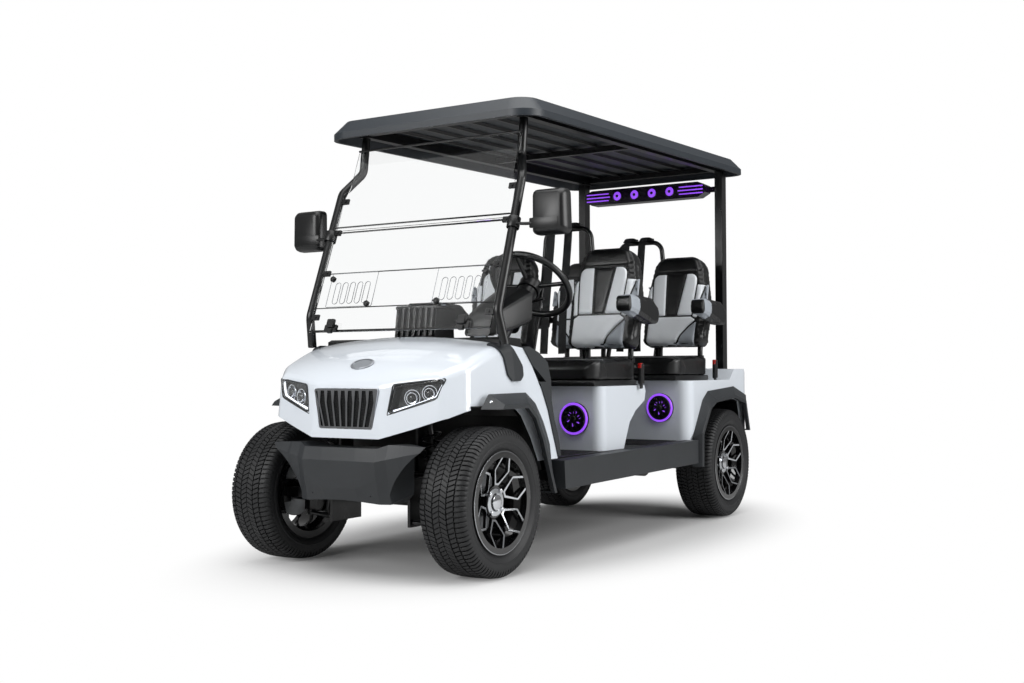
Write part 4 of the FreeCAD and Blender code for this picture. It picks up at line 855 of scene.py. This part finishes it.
@dataclass(frozen=True)
class Panel:
    """One sewn panel on a backrest's face: (across, up) outline in millimetres."""

    skin: Skin
    outline: tuple[Flat, ...]
    radii: tuple[float, ...] | float = 12.0
    height: float = 7.0
    grid: float = 18.0
    rows: tuple[float, ...] = (2, 4.5, 8, 13)

    def points(self, edge: Sequence[Vector]) -> list[Vector]:
        """Give the outline, rows of points inside it and a grid in its middle."""
        count = len(edge)
        way_in = math.copysign(1, sum(a.cross(b) for a, b in sides(edge)))
        points = list(edge)
        for i, here in enumerate(edge):
            way = (edge[(i + 1) % count] - edge[i - 1]).normalized()
            inward = Vector((-way.y, way.x)) * way_in
            rows = [(deep, here + inward * deep) for deep in self.rows]
            points += [spot for deep, spot in rows if depth(edge, spot) > deep * 0.92]
        low, high = ([pick(p[k] for p in edge) for k in (0, 1)] for pick in (min, max))
        across, up = (int((high[k] - low[k]) / self.grid) for k in (0, 1))
        middle = [Vector((low[0] + self.grid * (i + 0.5), low[1] + self.grid * (k + 0.5)))
                  for i in range(across) for k in range(up)]
        return points + [spot for spot in middle if depth(edge, spot) > self.grid]

    def sew(self, form: Form, tree: BVHTree) -> None:
        """Add the panel as a low pillow on the surface behind it.

        Args:
            form: the form that gets it, in the backrest's own frame.
            tree: the surface, in the same frame.
        """
        edge = [Vector(p) for p in stepped(rounded(self.outline, self.radii, 5), 14)]
        spots, _, faces, _, _, _ = delaunay_2d_cdt(self.points(edge), [], [list(range(len(edge)))], 1, 1e-5)
        verts = []
        for spot in spots:
            share = min(max(depth(edge, spot), 0) / self.rows[-1], 1)
            hit = tree.ray_cast(Vector((spot.x, -300, spot.y)), Vector((0, 1, 0)))[0]
            lift = -2.5 + (self.height + 2.5) * math.sqrt(1 - (1 - share) ** 2)
            verts.append(form.mesh.verts.new((spot.x, (hit.y if hit else 0.0) - lift, spot.y)))
        for face in faces:
            form.mesh.faces.new([verts[i] for i in face])


BACKREST_PANELS = (
    Panel(Skin.VINYL_PALE, ((174, 172), (249, 172), (236, 410), (162, 410), (160, 350)), (8, 8, 6, 36, 12)),
    Panel(Skin.VINYL_PALE, ((318, 172), (406, 172), (420, 350), (418, 410), (358, 410)), (8, 8, 12, 36, 6)),
    Panel(Skin.VINYL_BLACK, ((254, 172), (313, 172), (353, 410), (241, 410)), 6.0, 5.0),
    Panel(Skin.VINYL_PALE, ((411, 166), (440, 153), (443, 250), (468, 347), (425, 347)), (6, 10, 20, 6, 6)),
    Panel(Skin.VINYL_PALE, ((168, 168), (155, 347), (124, 347), (138, 250), (144, 160)), (6, 6, 6, 20, 8)),
    Panel(Skin.VINYL_MID, ((449, 252), (489, 252), (488, 345), (473, 345)), 6.0, 6.0),
    Panel(Skin.VINYL_PALE, ((148, 10), (318, 10), (345, 62), (388, 110), (430, 146), (402, 165), (176, 165),
                            (150, 148)), (16, 4, 40, 60, 6, 10, 10, 10), 9.0),
    Panel(Skin.VINYL_MID, ((327, 8), (432, 8), (436, 140), (394, 104), (352, 58)), (3, 14, 4, 60, 40), 8.0),
    Panel(Skin.VINYL_BLACK, ((170, 418), (432, 418), (420, 480), (395, 508), (205, 508), (180, 480)),
          (20, 20, 20, 24, 24, 20), 6.0),
)


@dataclass(frozen=True)
class Seats:
    """Both seat rows: cushions, backrests, armrests and belts."""

    nodes: dict[str, Thing]
    back: Matrix = Matrix.Translation((0, 105, 905)) @ Matrix.Rotation(math.radians(-14), 4, "X")
    row_step: Matrix = Matrix.Translation((0, 845, 20))
    bench_step: Flat = (877, 17)

    def quarters(self) -> list[tuple[str, Matrix]]:
        """Give each seat's label and its place from the front left one."""
        return [(f"{row}_{side}", flip @ step) for row, step in (("front", STILL), ("rear", self.row_step))
                for side, flip in (("left", STILL), ("right", MIRROR_X))]

    def spread(self, first: Thing, body: str) -> dict[str, Thing]:
        """Copy a front left piece to the other seats; body has braces where the label goes."""
        made = {"front_left": first}
        for label, place in self.quarters()[1:]:
            made[label] = copied(first, first.name.replace("front_left", label), place, body.format(label))
        return made

    def cushions(self) -> None:
        """Swell one bench cushion and set it on both rows, each over a black plinth."""
        soft = Puff(voxel=7.0, cap=14.0, shrink=7.0).mesh(self.nodes["front_cushion"], floor=748.0)
        front = finish_piece(soft, "bench_cushion_front", Skin.VINYL_BLACK, "chassis", 60)
        back, up = self.bench_step
        rear = copied(front, "bench_cushion_rear", Matrix.Translation((0, back, up)), "chassis")
        for piece, node in ((front, "front_cushion"), (rear, "rear_cushion")):
            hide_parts(node)
        for name, y, z in (("front", -272, 724.6), ("rear", back - 272, up + 724.6)):
            Form().box((-484, y, z), (484, y + 424, z + 26), 5).piece(f"cushion_plinth_{name}", Skin.BLACK)
        for name, y, z in (("front", -284, 838), ("rear", back - 284, up + 838)):
            arc = [(-470, 22, 0), (-430, 8, 3), (0, 4, 4), (430, 8, 3), (470, 22, 0)]
            piping = Form().tube([(x, y + in_y, z + in_z) for x, in_y, in_z in arc], 3.2, 60, 8)
            piping.piece(f"cushion_piping_{name}", Skin.VINYL_BLACK)

    def backrests(self) -> None:
        """Swell one backrest, sew its panels on and set it in all four places."""
        soft = Puff(voxel=6.0, cap=10.0, shrink=7.0).mesh(self.nodes["front_backrests"], left_only=True)
        inward = self.back.inverted()
        tree = BVHTree.FromPolygons([inward @ (v.co / MM) for v in soft.vertices],
                                    [list(p.vertices) for p in soft.polygons])
        sewn = [finish_piece(soft, "backrest_front_left", Skin.VINYL_BLACK, "chassis", 60)]
        for skin, label in ((Skin.VINYL_PALE, "pale"), (Skin.VINYL_MID, "mid"), (Skin.VINYL_BLACK, "dark")):
            form = Form()
            for panel in BACKREST_PANELS:
                if panel.skin is skin:
                    panel.sew(form, tree)
            form.mesh.transform(Matrix.Scale(MM, 4))
            sewn.append(form.piece(f"backrest_{label}_panels_front_left", skin, crease=60, place=self.back))
        for piece in sewn:
            for label, made in self.spread(piece, "chassis").items():
                if "panels" not in made.name:
                    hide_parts("rear_backrests" if "rear" in label else "front_backrests")

    def armrests(self) -> None:
        """Swell one armrest, with its paler middle, for all four places."""
        soft = Puff(voxel=4.0, cap=6.0, shrink=4.0).mesh(self.nodes["armrest_front_left"])
        first = finish_piece(soft, "arm_pad_front_left", Skin.VINYL_BLACK, "armrest_front_left", 60)
        soft.materials.append(Skin.VINYL_MID.value.material())
        for face in soft.polygons:
            face.material_index = int(-0.105 < face.center.y < -0.02)
        for label, piece in self.spread(first, "armrest_{}").items():
            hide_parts(f"armrest_{label}")

    def belts(self) -> None:
        """Hang the shoulder belts from the hoops and stand the buckles behind the cushions."""
        for label, place in self.quarters():
            drop, back = (0, 0) if "front" in label else (-20, 60)
            strap = [(50, 345, 1553 + drop), (50, 300, 1556 + drop), (50, 262, 1525 + drop), (50, 252, 1440),
                     (50, 205, 1150), (52, 186, 960), (54, 182, 880)]
            Form().tube(strap, 23, 40, 8, 0.07).piece(f"belt_{label}", Skin.WEBBING, crease=60, place=place)
            tilt = Matrix.Translation((0, back, 0)) @ frame_at((520, 130, 770), (0.05, -0.12, 1))
            buckle = Form().box((-11, -16, -40), (11, 16, 60), 5, tilt)
            buckle.box((-4, -12, -62), (4, 12, -36), 1.5, tilt)
            buckle.piece(f"buckle_{label}", Skin.BLACK, place=place)
            button = Form().box((-9, -17, 38), (9, -2, 62), 2.5, tilt)
            button.piece(f"buckle_button_{label}", Skin.RED, place=place)

    def build(self) -> None:
        """Make everything of both rows."""
        self.cushions()
        self.backrests()
        self.armrests()
        self.belts()


# Nose, lamps and body trims

def seated(node: Thing, start: Point) -> Matrix:
    """Find the surface of a CAD node straight below a start, as a frame whose Z stands off it."""
    data = node.data
    tree = BVHTree.FromPolygons([v.co for v in data.vertices], [list(p.vertices) for p in data.polygons])
    hit, normal, _, _ = tree.ray_cast(Vector(start) * MM, Vector((0, 0, -1)))
    return frame_at(tuple(hit / MM), tuple(normal if normal.z > 0 else -normal))


@dataclass(frozen=True)
class Nose:
    """Blank badge, grille backing, lamp insides and the flares' screws."""

    nodes: dict[str, Thing]

    def badge(self) -> None:
        """Set the blank oval badge on the bonnet."""
        seat = seated(self.nodes["front_cowl"], (0, -1324, 1200)) @ Matrix.Diagonal((1.5, 1, 1, 1))
        rim = Form().lathe([(37, -3), (37, 3), (34.5, 5.5), (31, 5.5), (30, 3), (30, -3)], seat)
        rim.piece("blank_badge_rim", Skin.BRUSHED)
        plate = Form().lathe([(30.2, -3), (30.2, 2.4), (16, 4.2), (0.5, 4.8)], seat, closed=False)
        plate.piece("blank_badge", Skin.PLATE)

    def grille_backing(self) -> None:
        """Close the grille behind its bars with a dark woven mesh."""
        sheet = Form().prism([(-129, 579), (129, 579), (155, 724), (-155, 724)], -1415, -1412.5, FACING_FRONT)
        sheet.piece("grille_backing", Skin.BLACK)
        form = Form()
        for i in range(13):
            z = 588 + i * 10.6
            half = 128 + 26 * (z - 578) / 147
            form.tube([(-half, -1415.4, z), (half, -1415.4, z)], 1.1, 0, 6)
        for i in range(41):
            share = (i - 20) / 20
            form.tube([(share * 127, -1416.2, 580), (share * 153, -1416.2, 723)], 1.1, 0, 6)
        form.piece("grille_mesh", Skin.STEEL)

    def lamp_inside(self, form: Form, part: str) -> None:
        """Add one lamp's projector barrels, glass or light strip."""
        if part == "strip":
            form.tube([(212, -1395, 643), (300, -1372, 668), (384, -1348, 697), (398, -1340, 730),
                       (409, -1332, 757)], 4.5, 14, 8)
            return
        for x, z, r in ((283, 694, 23), (352, 712, 22)):
            axis = frame_at((x, -1425 + (x - 170) * 0.27 + 26, z), (0.26, -0.95, -0.02))
            if part == "barrel":
                form.lathe([(r, -18), (r + 1, 4), (r - 1, 8), (r - 4, 7), (r - 6, -2), (r - 7, -18)], axis, 40)
                form.lathe([(r + 9, -6), (r + 10, 0), (r + 7, 0), (r + 5, -6)], axis, 40)
            else:
                form.lathe([(r - 5, 0), (r - 8, 6), (r - 14, 9.5), (0.4, 11)], axis, 32, closed=False)

    def bezel(self, form: Form) -> None:
        """Add the dark edge line round one lamp cover."""
        ring = [(198, -1417, 628), (220, -1409, 746), (318, -1380, 757), (422, -1340, 769), (393, -1360, 690),
                (300, -1389, 661)]
        form.tube([*ring, ring[0]], 3.0, 10, 8)

    def screws(self, form: Form) -> None:
        """Add the two screws on a front flare's sloped top."""
        for y in (-1208, -930):
            seat = seated(self.nodes["front_flares"], (540, y, 900))
            form.lathe([(6.5, -2), (6.5, 1.2), (4.5, 2.6), (0.4, 2.9)], seat, 20, closed=False)

    def build(self) -> None:
        """Make everything at the nose."""
        self.badge()
        self.grille_backing()
        for part, skin in (("barrel", Skin.CHROME), ("glass", Skin.LENS), ("strip", Skin.LIGHT)):
            both_sides(lambda form, part=part: self.lamp_inside(form, part), f"lamp_{part}", skin)
        both_sides(self.bezel, "lamp_bezel", Skin.TRIM)
        both_sides(self.screws, "flare_screws", Skin.CHROME)


@dataclass(frozen=True)
class Speaker:
    """One speaker's lit ring and bladed cover."""

    name: str
    place: Point
    radius: float = 74.0
    blades: int = 12

    def blade(self, turn: float) -> list[list[Point]]:
        """Give the rings of one swept blade."""
        rings = []
        for k in range(6):
            share = k / 5
            swing = turn + 0.5 * share
            middle = Vector((math.cos(swing), math.sin(swing), 0)) * (12 + (self.radius - 28) * share)
            across = Vector((-math.sin(swing), math.cos(swing), 0)) * (3.6 + 3.4 * share)
            rings.append([middle + across * way + Vector((0, 0, z))
                          for way, z in ((-1, 2.5), (1, 4.5), (1, 7.0), (-1, 5.5))])
        return rings

    def build(self) -> None:
        """Add the glowing ring, the blades and the lit dots between them."""
        axis = frame_at(self.place, (0, -1, 0))
        r = self.radius
        form = Form()
        form.lathe([(r - 1, -2), (r, 2), (r - 3, 6), (r - 8, 6), (r - 11, 1), (r - 11, -2)], axis, 64)
        for i in range(6):
            turn = math.radians(i * 60 + 15)
            spot = axis @ Matrix.Translation((30 * math.cos(turn), 30 * math.sin(turn), 0))
            form.lathe([(8, -1), (8, 1.2), (0.4, 2.0)], spot, 16, closed=False)
        form.piece(f"lit_ring_{self.name}", Skin.PURPLE)
        form = Form()
        r -= 11
        form.lathe([(r, -3), (r, 5), (r - 3, 8.5), (r - 6, 8.5), (r - 7, 4), (r - 7, -3)], axis, 64)
        form.lathe([(15, -1), (15, 7), (11, 10.5), (0.4, 11)], axis, 32, closed=False)
        for i in range(self.blades):
            form.loft(self.blade(2 * math.pi * i / self.blades), axis)
        form.piece(f"speaker_cover_{self.name}", Skin.BLACK, bevel=0.4)


# Cab

@dataclass(frozen=True)
class Screen:
    """Windscreen rails, vents, latches and clamps, in the pane's own plane."""

    foot: float = 1035.0
    rise: float = 0.94
    plane: Matrix = Matrix.Translation((0, -1085, 1035)) @ Matrix.Rotation(math.radians(90 - 19.95), 4, "X")

    def up(self, z: float) -> float:
        """Turn a height into a distance up the pane."""
        return (z - self.foot) / self.rise

    def half(self, z: float) -> float:
        """Give the pane's half width at a height."""
        return 471.0 - (z - 966) * 0.0177

    def outline_ring(self, form: Form, low: Flat, high: Flat, radius: float, wide: float) -> None:
        """Lay a thin raised line round a rounded oblong on the pane."""
        rings = []
        for inset, lift in ((0, 2.6), (0, 4.6), (wide, 4.6), (wide, 2.6)):
            x0, v0, x1, v1 = low[0] + inset, low[1] + inset, high[0] - inset, high[1] - inset
            corners = rounded([(x0, v0), (x1, v0), (x1, v1), (x0, v1)], max(radius - inset, 0.5), 6)
            rings.append([(x, v, lift) for x, v in corners])
        form.loft(rings, self.plane, looped=True)

    def vents(self, form: Form) -> None:
        """Add the edge of one vent panel and of its five slots."""
        self.outline_ring(form, (158, 42), (414, 202), 6, 1.6)
        for x in range(204, 369, 41):
            self.outline_ring(form, (x - 15, 56), (x + 15, 158), 14.5, 1.9)

    def knobs(self, form: Form) -> None:
        """Add the two knobs of one vent."""
        for x, v in ((403, 174), (184, 52)):
            knob = self.plane @ Matrix.Translation((x, v, 2.6))
            form.lathe([(13, 0), (13, 10), (9, 15), (0.4, 16)], knob, 24, closed=False)
            form.box((x - 20, v - 4, 8), (x + 6, v + 4, 13), 2, self.plane)

    def latch(self, form: Form) -> None:
        """Add one latch at the pane's lower edge."""
        for low, high, edge in (((312, -76, 2), (380, -44, 18), 4), ((322, -60, 14), (362, -22, 30), 4),
                                ((330, -84, 10), (356, -64, 26), 3)):
            form.box(low, high, edge, self.plane)

    def clamps(self, form: Form) -> None:
        """Add the clamps and bolts that tie one edge to its strut."""
        for z in (1032, 1228, 1414, 1560):
            v = self.up(z)
            x = self.half(z)
            form.box((x - 34, v - 13, -6), (x + 8, v + 13, 7), 2.5, self.plane)
            bolt = self.plane @ Matrix.Translation((x - 16, v, 6))
            form.prism(circle(6.5, 6), 0, 5, bolt, 0.8)

    def build(self) -> None:
        """Make everything on the windscreen."""
        for name, z, tall, front in (("hinge_edge_low", 1413, 3.5, 6), ("hinge_edge_high", 1439, 3.5, 6),
                                     ("lower_rail", 971, 7, 5), ("vent_edge_low", 1072, 2.5, 4),
                                     ("vent_edge_high", 1226, 2.5, 4)):
            half = self.half(z) - 1
            v = self.up(z)
            rail = Form().box((-half, v - tall / 2, -4.5), (half, v + tall / 2, front), 1.5, self.plane)
            rail.piece(name, Skin.STEEL)
        both_sides(self.vents, "vent_slots", Skin.RIM_BRIGHT)
        both_sides(self.knobs, "vent_knobs", Skin.BLACK)
        both_sides(self.latch, "screen_latch", Skin.BLACK)
        both_sides(self.clamps, "screen_clamps", Skin.BLACK)
        Form().tube([(-436, -812, 1800), (436, -812, 1800)], 5).piece("screen_top_rail", Skin.STEEL)


@dataclass(frozen=True)
class Cab:
    """Dash, steering wheel details, floor mats, mirrors, sound bar and roof ribs."""

    tilt: float = 44.0
    column_x: float = 250.0

    def binnacle(self) -> None:
        """Add the steering wheel's boss, the stalks, the hood over the column and its dials."""
        x = self.column_x
        tilt = math.radians(self.tilt)
        axis = frame_at((x, -437, 1184), (0, math.sin(tilt), math.cos(tilt)))
        boss = Form().lathe([(53.5, 0), (52, 9), (44, 14), (20, 17), (0.4, 17.5)], axis, closed=False)
        boss.piece("steering_boss", Skin.BLACK, "steering_wheel")
        form = Form()
        for way in (-1, 1):
            stalk = ((40, -560, 1080), (95, -575, 1100), (150, -578, 1112))
            form.tube([(x + way * out, y, z) for out, y, z in stalk], 7, 20)
        form.piece("column_stalks", Skin.BLACK)
        rings = []
        for y, half, tall, lift in ((-860, 60, 40, 985), (-840, 82, 56, 1000), (-740, 104, 70, 1035),
                                    (-650, 118, 78, 1068), (-612, 122, 80, 1082), (-606, 118, 76, 1084),
                                    (-618, 108, 66, 1080)):
            ring = rounded([(x + half * across, lift + tall * up) for across, up in
                            ((-1, -1), (1, -1), (0.86, 0.7), (0.4, 1), (-0.4, 1), (-0.86, 0.7))], tall * 0.3, 4)
            rings.append([(u, y + (z - lift) * 0.25, z) for u, z in ring])
        Form().loft(rings).piece("binnacle", Skin.BLACK)
        form = Form()
        for dial_x in (x - 45, x + 45):
            dial = frame_at((dial_x, -616, 1092), (0, 0.97, 0.24))
            form.lathe([(36, -2), (36, 4), (33, 6), (30, 3), (30, -2)], dial, 36)
        form.piece("dial_rings", Skin.CHROME)

    def dash_ribs(self) -> None:
        """Rib the front of the passenger's glove pod and edge its top."""
        form = Form()
        for x in range(-84, 97, 30):
            form.prism([(-992, 945), (-975, 1062), (-981, 1064), (-998, 947)], x - 6, x + 6, FACING_SIDE, 1.5)
        form.box((-106, -972, 1058), (116, -842, 1074), 6)
        form.box((-70, -930, 1070), (80, -890, 1088), 7)
        form.piece("glove_pod_ribs", Skin.BLACK)

    def mats(self) -> None:
        """Lay ribbed mats on the floor of both rows."""
        for name, y0, y1 in (("front", -752, -262), ("rear", 236, 624)):
            form = Form()
            form.box((-496, y0, 430.2), (496, y1, 432.4), 1)
            for i in range(int((y1 - y0 - 24) / 17)):
                y = y0 + 18 + i * 17
                rib = [(y - 4, 432.2), (y + 4, 432.2), (y + 2.2, 435), (y - 2.2, 435)]
                form.prism(rib, -486, 486, FACING_SIDE)
            form.piece(f"floor_mat_{name}", Skin.RUBBER)

    def mirror(self, form: Form) -> None:
        """Add one mirror's arm and clamp."""
        form.tube([(503, -958, 1394), (540, -962, 1390), (574, -938, 1392)], 13, 25, 10, 0.5)
        clamp = frame_at((484, -953, 1398), (0, 0.34, 0.94))
        form.lathe([(26, -24), (27, -22), (27, 22), (26, 24)], clamp, 32, closed=False)

    def shell(self, form: Form) -> None:
        """Add one mirror's head with soft edges and a recessed lower band."""
        outline = [(560, 1344), (706, 1344), (722, 1362), (716, 1530), (562, 1530)]
        ring = rounded(outline, (20, 24, 24, 26, 22), 5)
        form.loft([[(x, y, z) for x, z in shrunk(ring, inset)] for y, inset in
                   ((-954, 26), (-948, 14), (-936, 5), (-920, 1), (-892, 0.5), (-890, 3))])
        form.box((558, -956, 1372), (694, -944, 1412), 4)

    def glass(self, form: Form) -> None:
        """Add one mirror's glass."""
        outline = rounded([(572, 1358), (704, 1358), (700, 1518), (572, 1518)], 14)
        form.prism(outline, -890.2, -888.4, FACING_FRONT)

    def sound_bar(self) -> None:
        """Light the sound bar: four lamps, and slats at both ends."""
        for i, x in enumerate((-168, -56, 56, 168)):
            axis = frame_at((x, 1230, 1819), (0, -1, 0))
            lamp = Form().lathe([(25, -2), (25, 3), (20, 6), (0.4, 8)], axis, 40, closed=False)
            lamp.piece(f"sound_bar_lamp_{i}", Skin.PURPLE)
            cone = Form().lathe([(31, -2), (31, 5), (27, 8), (25, 5), (25, -2)], axis, 40)
            cone.lathe([(9, 4), (9, 9), (5, 11), (0.4, 11.5)], axis, 24, closed=False)
            # painted glow: the cones' purple tint stands in for the lamps' light
            cone.piece(f"sound_bar_cone_{i}", Skin.SMOKED)
        form = Form()
        for side in (-1, 1):
            for z, inner in ((1798, 226), (1818, 218), (1838, 226)):
                near, far = sorted((side * inner, side * 372))
                form.box((near, 1226.5, z - 3), (far, 1230.5, z + 3), 1)
        form.piece("sound_bar_slats", Skin.PURPLE)

    def roof_ribs(self) -> None:
        """Run stiffening ribs along the roof's underside."""
        form = Form()
        for x in (-330, -200, -68, 68, 200, 330):
            rings = []
            for y, drop in ((-860, 4), (-855, 13), (1345, 13), (1350, 4)):
                top = 1909.5 + 55 / 2335 * (y + 925)
                section = ((-11, 0), (11, 0), (7, drop), (-7, drop))
                rings.append([(x + out, y, top - low) for out, low in section])
            form.loft(rings)
        form.piece("roof_ribs", Skin.BLACK)

    def build(self) -> None:
        """Make everything of the cab."""
        self.binnacle()
        self.dash_ribs()
        self.mats()
        both_sides(self.mirror, "mirror_arm", Skin.BLACK)
        both_sides(self.shell, "mirror_head", Skin.BLACK)
        for name in ("mirror_head_left", "mirror_head_right"):
            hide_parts("mirrors")
        both_sides(self.glass, "mirror_glass", Skin.MIRROR)
        self.sound_bar()
        self.roof_ribs()


# Running gear

def damper_spring(form: Form) -> None:
    """Wind one front damper's coil spring."""
    low = Vector((300, AXLE_Y["front"], 200))
    way = (Vector((229, AXLE_Y["front"], 608)) - low).normalized()
    side = way.cross(Vector((0, 1, 0))).normalized()
    other = way.cross(side)
    steps = 7 * 16
    points = []
    for i in range(steps + 1):
        turn = 2 * math.pi * i / 16
        along = low + way * (115 + 250 * i / steps)
        points.append(tuple(along + side * 38 * math.cos(turn) + other * 38 * math.sin(turn)))
    form.tube(points, 5, 0, 8)


# The studio

@dataclass(frozen=True)
class Studio:
    """Camera, lamps, world and floor."""

    eye: Point = (3.0824, -5.0771, 0.8052)
    yaw: float = 32.3135
    pitch: float = 1.3011
    roll: float = -0.2244
    lens: float = 42.32
    ambient: float = 0.24
    # painted shadow: the floor's grey round the cart, shaped by the oval and fading to white over the fade
    # range
    painted_shadow_grey: float = 0.62
    oval: Point = (0.95, 0.52, 1)
    fade: Flat = (0.66, 1.15)

    def camera(self) -> None:
        """Stand the camera where the photograph was taken."""
        yaw, pitch, roll = (math.radians(v) for v in (self.yaw, self.pitch, self.roll))
        forward = Vector((-math.sin(yaw) * math.cos(pitch), math.cos(yaw) * math.cos(pitch), math.sin(pitch)))
        right = forward.cross(Vector((0, 0, 1))).normalized()
        up = right.cross(forward)
        across = right * math.cos(roll) + up * math.sin(roll)
        upward = up * math.cos(roll) - right * math.sin(roll)
        data = bpy.data.cameras.new("camera")
        data.lens = self.lens
        data.sensor_width = 36
        data.clip_end = 200
        made = linked("camera", data)
        turn = Matrix((across, upward, -forward)).transposed().to_4x4()
        made.matrix_world = Matrix.Translation(self.eye) @ turn
        bpy.context.scene.camera = made

    def lights(self) -> None:
        """Hang the soft boxes (place, aim and size in metres, power in watts)."""
        for name, place, aim, size, power in (
                ("top_softbox", (0.8, -1.0, 5.0), (0, 0, 0.6), (5, 5), 220),
                ("left_softbox", (5.5, 0.5, 2.6), (0, 0, 0.9), (3.5, 3), 210),
                ("nose_softbox", (-1.5, -6.0, 3.0), (0, -0.3, 0.8), (3.5, 2.5), 200)):
            data = bpy.data.lights.new(name, "AREA")
            data.shape = "RECTANGLE"
            data.size, data.size_y = size
            data.energy = power
            made = linked(name, data)
            made.location = place
            made.rotation_euler = (Vector(aim) - Vector(place)).to_track_quat("-Z", "Y").to_euler()

    def seen(self, tree: Tree) -> Socket:
        """Give 1 for what the camera sees itself or through glass, else 0."""
        path = add_node(tree, "ShaderNodeLightPath").outputs
        links = {0: path["Is Camera Ray"], 1: path["Is Transmission Ray"]}
        return add_node(tree, "ShaderNodeMath", links=links, operation="MAXIMUM").outputs[0]

    def world(self) -> None:
        """Make the world white to the camera and dim as a light."""
        world = bpy.data.worlds.new("studio")
        bpy.context.scene.world = world
        tree = emptied(world)
        level = add_node(tree, "ShaderNodeMapRange", {"To Min": self.ambient}, {"Value": self.seen(tree)})
        back = add_node(tree, "ShaderNodeBackground", {"Color": (1, 1, 1, 1)}, {"Strength": level.outputs[0]})
        add_node(tree, "ShaderNodeOutputWorld", links={"Surface": back.outputs[0]})

    def floor(self) -> None:
        """Lay a floor painted grey round the cart as a painted shadow under it, fading to white away from the
        cart.
        """
        mesh = bpy.data.meshes.new("floor")
        mesh.from_pydata([(-40, -40, 0), (40, -40, 0), (40, 40, 0), (-40, 40, 0)], [], [(0, 1, 2, 3)])
        made = linked("floor", mesh)
        material = bpy.data.materials.new("pale_studio_floor")
        tree = emptied(material)
        place = add_node(tree, "ShaderNodeTexCoord").outputs["Object"]
        oval = add_node(tree, "ShaderNodeVectorMath", {1: self.oval}, {0: place}, operation="MULTIPLY")
        far = add_node(tree, "ShaderNodeVectorMath", links={0: oval.outputs[0]}, operation="LENGTH")
        fade = add_node(tree, "ShaderNodeMapRange", {"From Min": self.fade[0], "From Max": self.fade[1]},
                        {"Value": far.outputs["Value"]}, interpolation_type="SMOOTHSTEP")
        share = add_node(tree, "ShaderNodeMath", links={0: fade.outputs[0], 1: self.seen(tree)},
                         operation="MULTIPLY")
        # painted shadow: grey matt floor inside the oval round the cart
        matt = add_node(tree, "ShaderNodeBsdfDiffuse", {"Color": (*[self.painted_shadow_grey] * 3, 1)})
        white = add_node(tree, "ShaderNodeEmission", {"Color": (1, 1, 1, 1), "Strength": 1.0})
        mix = add_node(tree, "ShaderNodeMixShader", links={0: share.outputs[0], 1: matt.outputs[0],
                                                           2: white.outputs[0]})
        add_node(tree, "ShaderNodeOutputMaterial", links={"Surface": mix.outputs[0]})
        mesh.materials.append(material)

    def build(self) -> None:
        """Set up everything around the cart."""
        self.camera()
        self.lights()
        self.world()
        self.floor()
        bpy.context.scene.view_settings.view_transform = "Standard"
        LOG.info("studio ready")


# Finishes of the plain CAD nodes

CORNERS = ("front_left", "front_right", "rear_left", "rear_right")
CARRIED: dict[Skin, Sequence[str]] = {
    Skin.WHITE: ("front_cowl", "front_seat_box", "rear_body"),
    Skin.TRIM: ("front_bumper", "front_flares", "rear_flares", "sills", "cowl_trims", "rear_bumper"),
    Skin.STEEL: ("frame", "front_suspension", "rear_axle", "rear_springs", "steering_rack", "tie_rods",
                 "front_seat_frame", "rear_seat_frame", "front_struts", "rear_struts", "roof_frame", "pedals",
                 "knuckle_left", "knuckle_right", "damper_towers", "rear_subframe"),
    Skin.CHROME: ("grille",),
    Skin.ROOF: ("roof",),
    # painted glow: the sound bar's purple tint stands in for its lamps' light
    Skin.SMOKED: ("sound_bar",),
    Skin.LENS: ("headlamp_lenses",),
    Skin.ACRYLIC: ("windscreen",),
    Skin.RED: ("tail_lamps",),
    Skin.BLACK: ("arch_liners", "floor_tray", "speakers", "mirrors", "dash", "headlamps",
                 "steering_wheel", "steering_column", "battery_pack"),
    Skin.VINYL_BLACK: ("front_cushion", "rear_cushion", *(f"armrest_{seat}" for seat in CORNERS)),
    Skin.VINYL_PALE: ("front_backrests", "rear_backrests"),
    Skin.WEBBING: ("seat_belts",),
    Skin.RUBBER: [f"tyre_{wheel}" for wheel in CORNERS],
    Skin.RIM_BLACK: [f"rim_{wheel}" for wheel in CORNERS],
    Skin.IRON: ("front_hub_left", "front_hub_right"),
}


def paint_nodes(nodes: dict[str, Thing]) -> None:
    """Give each carried-over CAD node its finish."""
    for skin, names in CARRIED.items():
        for name in names:
            mesh = nodes[name].data
            mesh.materials.clear()
            mesh.materials.append(skin.value.material())
    LOG.info("nodes painted")


def main() -> None:
    """Build the cart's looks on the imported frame."""
    logging.basicConfig(level=logging.INFO)
    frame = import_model()
    Studio().build()
    nodes = frame["nodes"]
    paint_nodes(nodes)
    build_wheels()
    Seats(nodes).build()
    Nose(nodes).build()
    for row, x, y, z in (("front", 360, -235, 575), ("rear", 380, 640, 600)):
        for side in (1, -1):
            Speaker(f"{row}_{'left' if side > 0 else 'right'}", (side * x, y - 12, z)).build()
    Screen().build()
    Cab().build()
    both_sides(damper_spring, "damper_spring", Skin.STEEL)


if __name__ == "__main__":
    main()
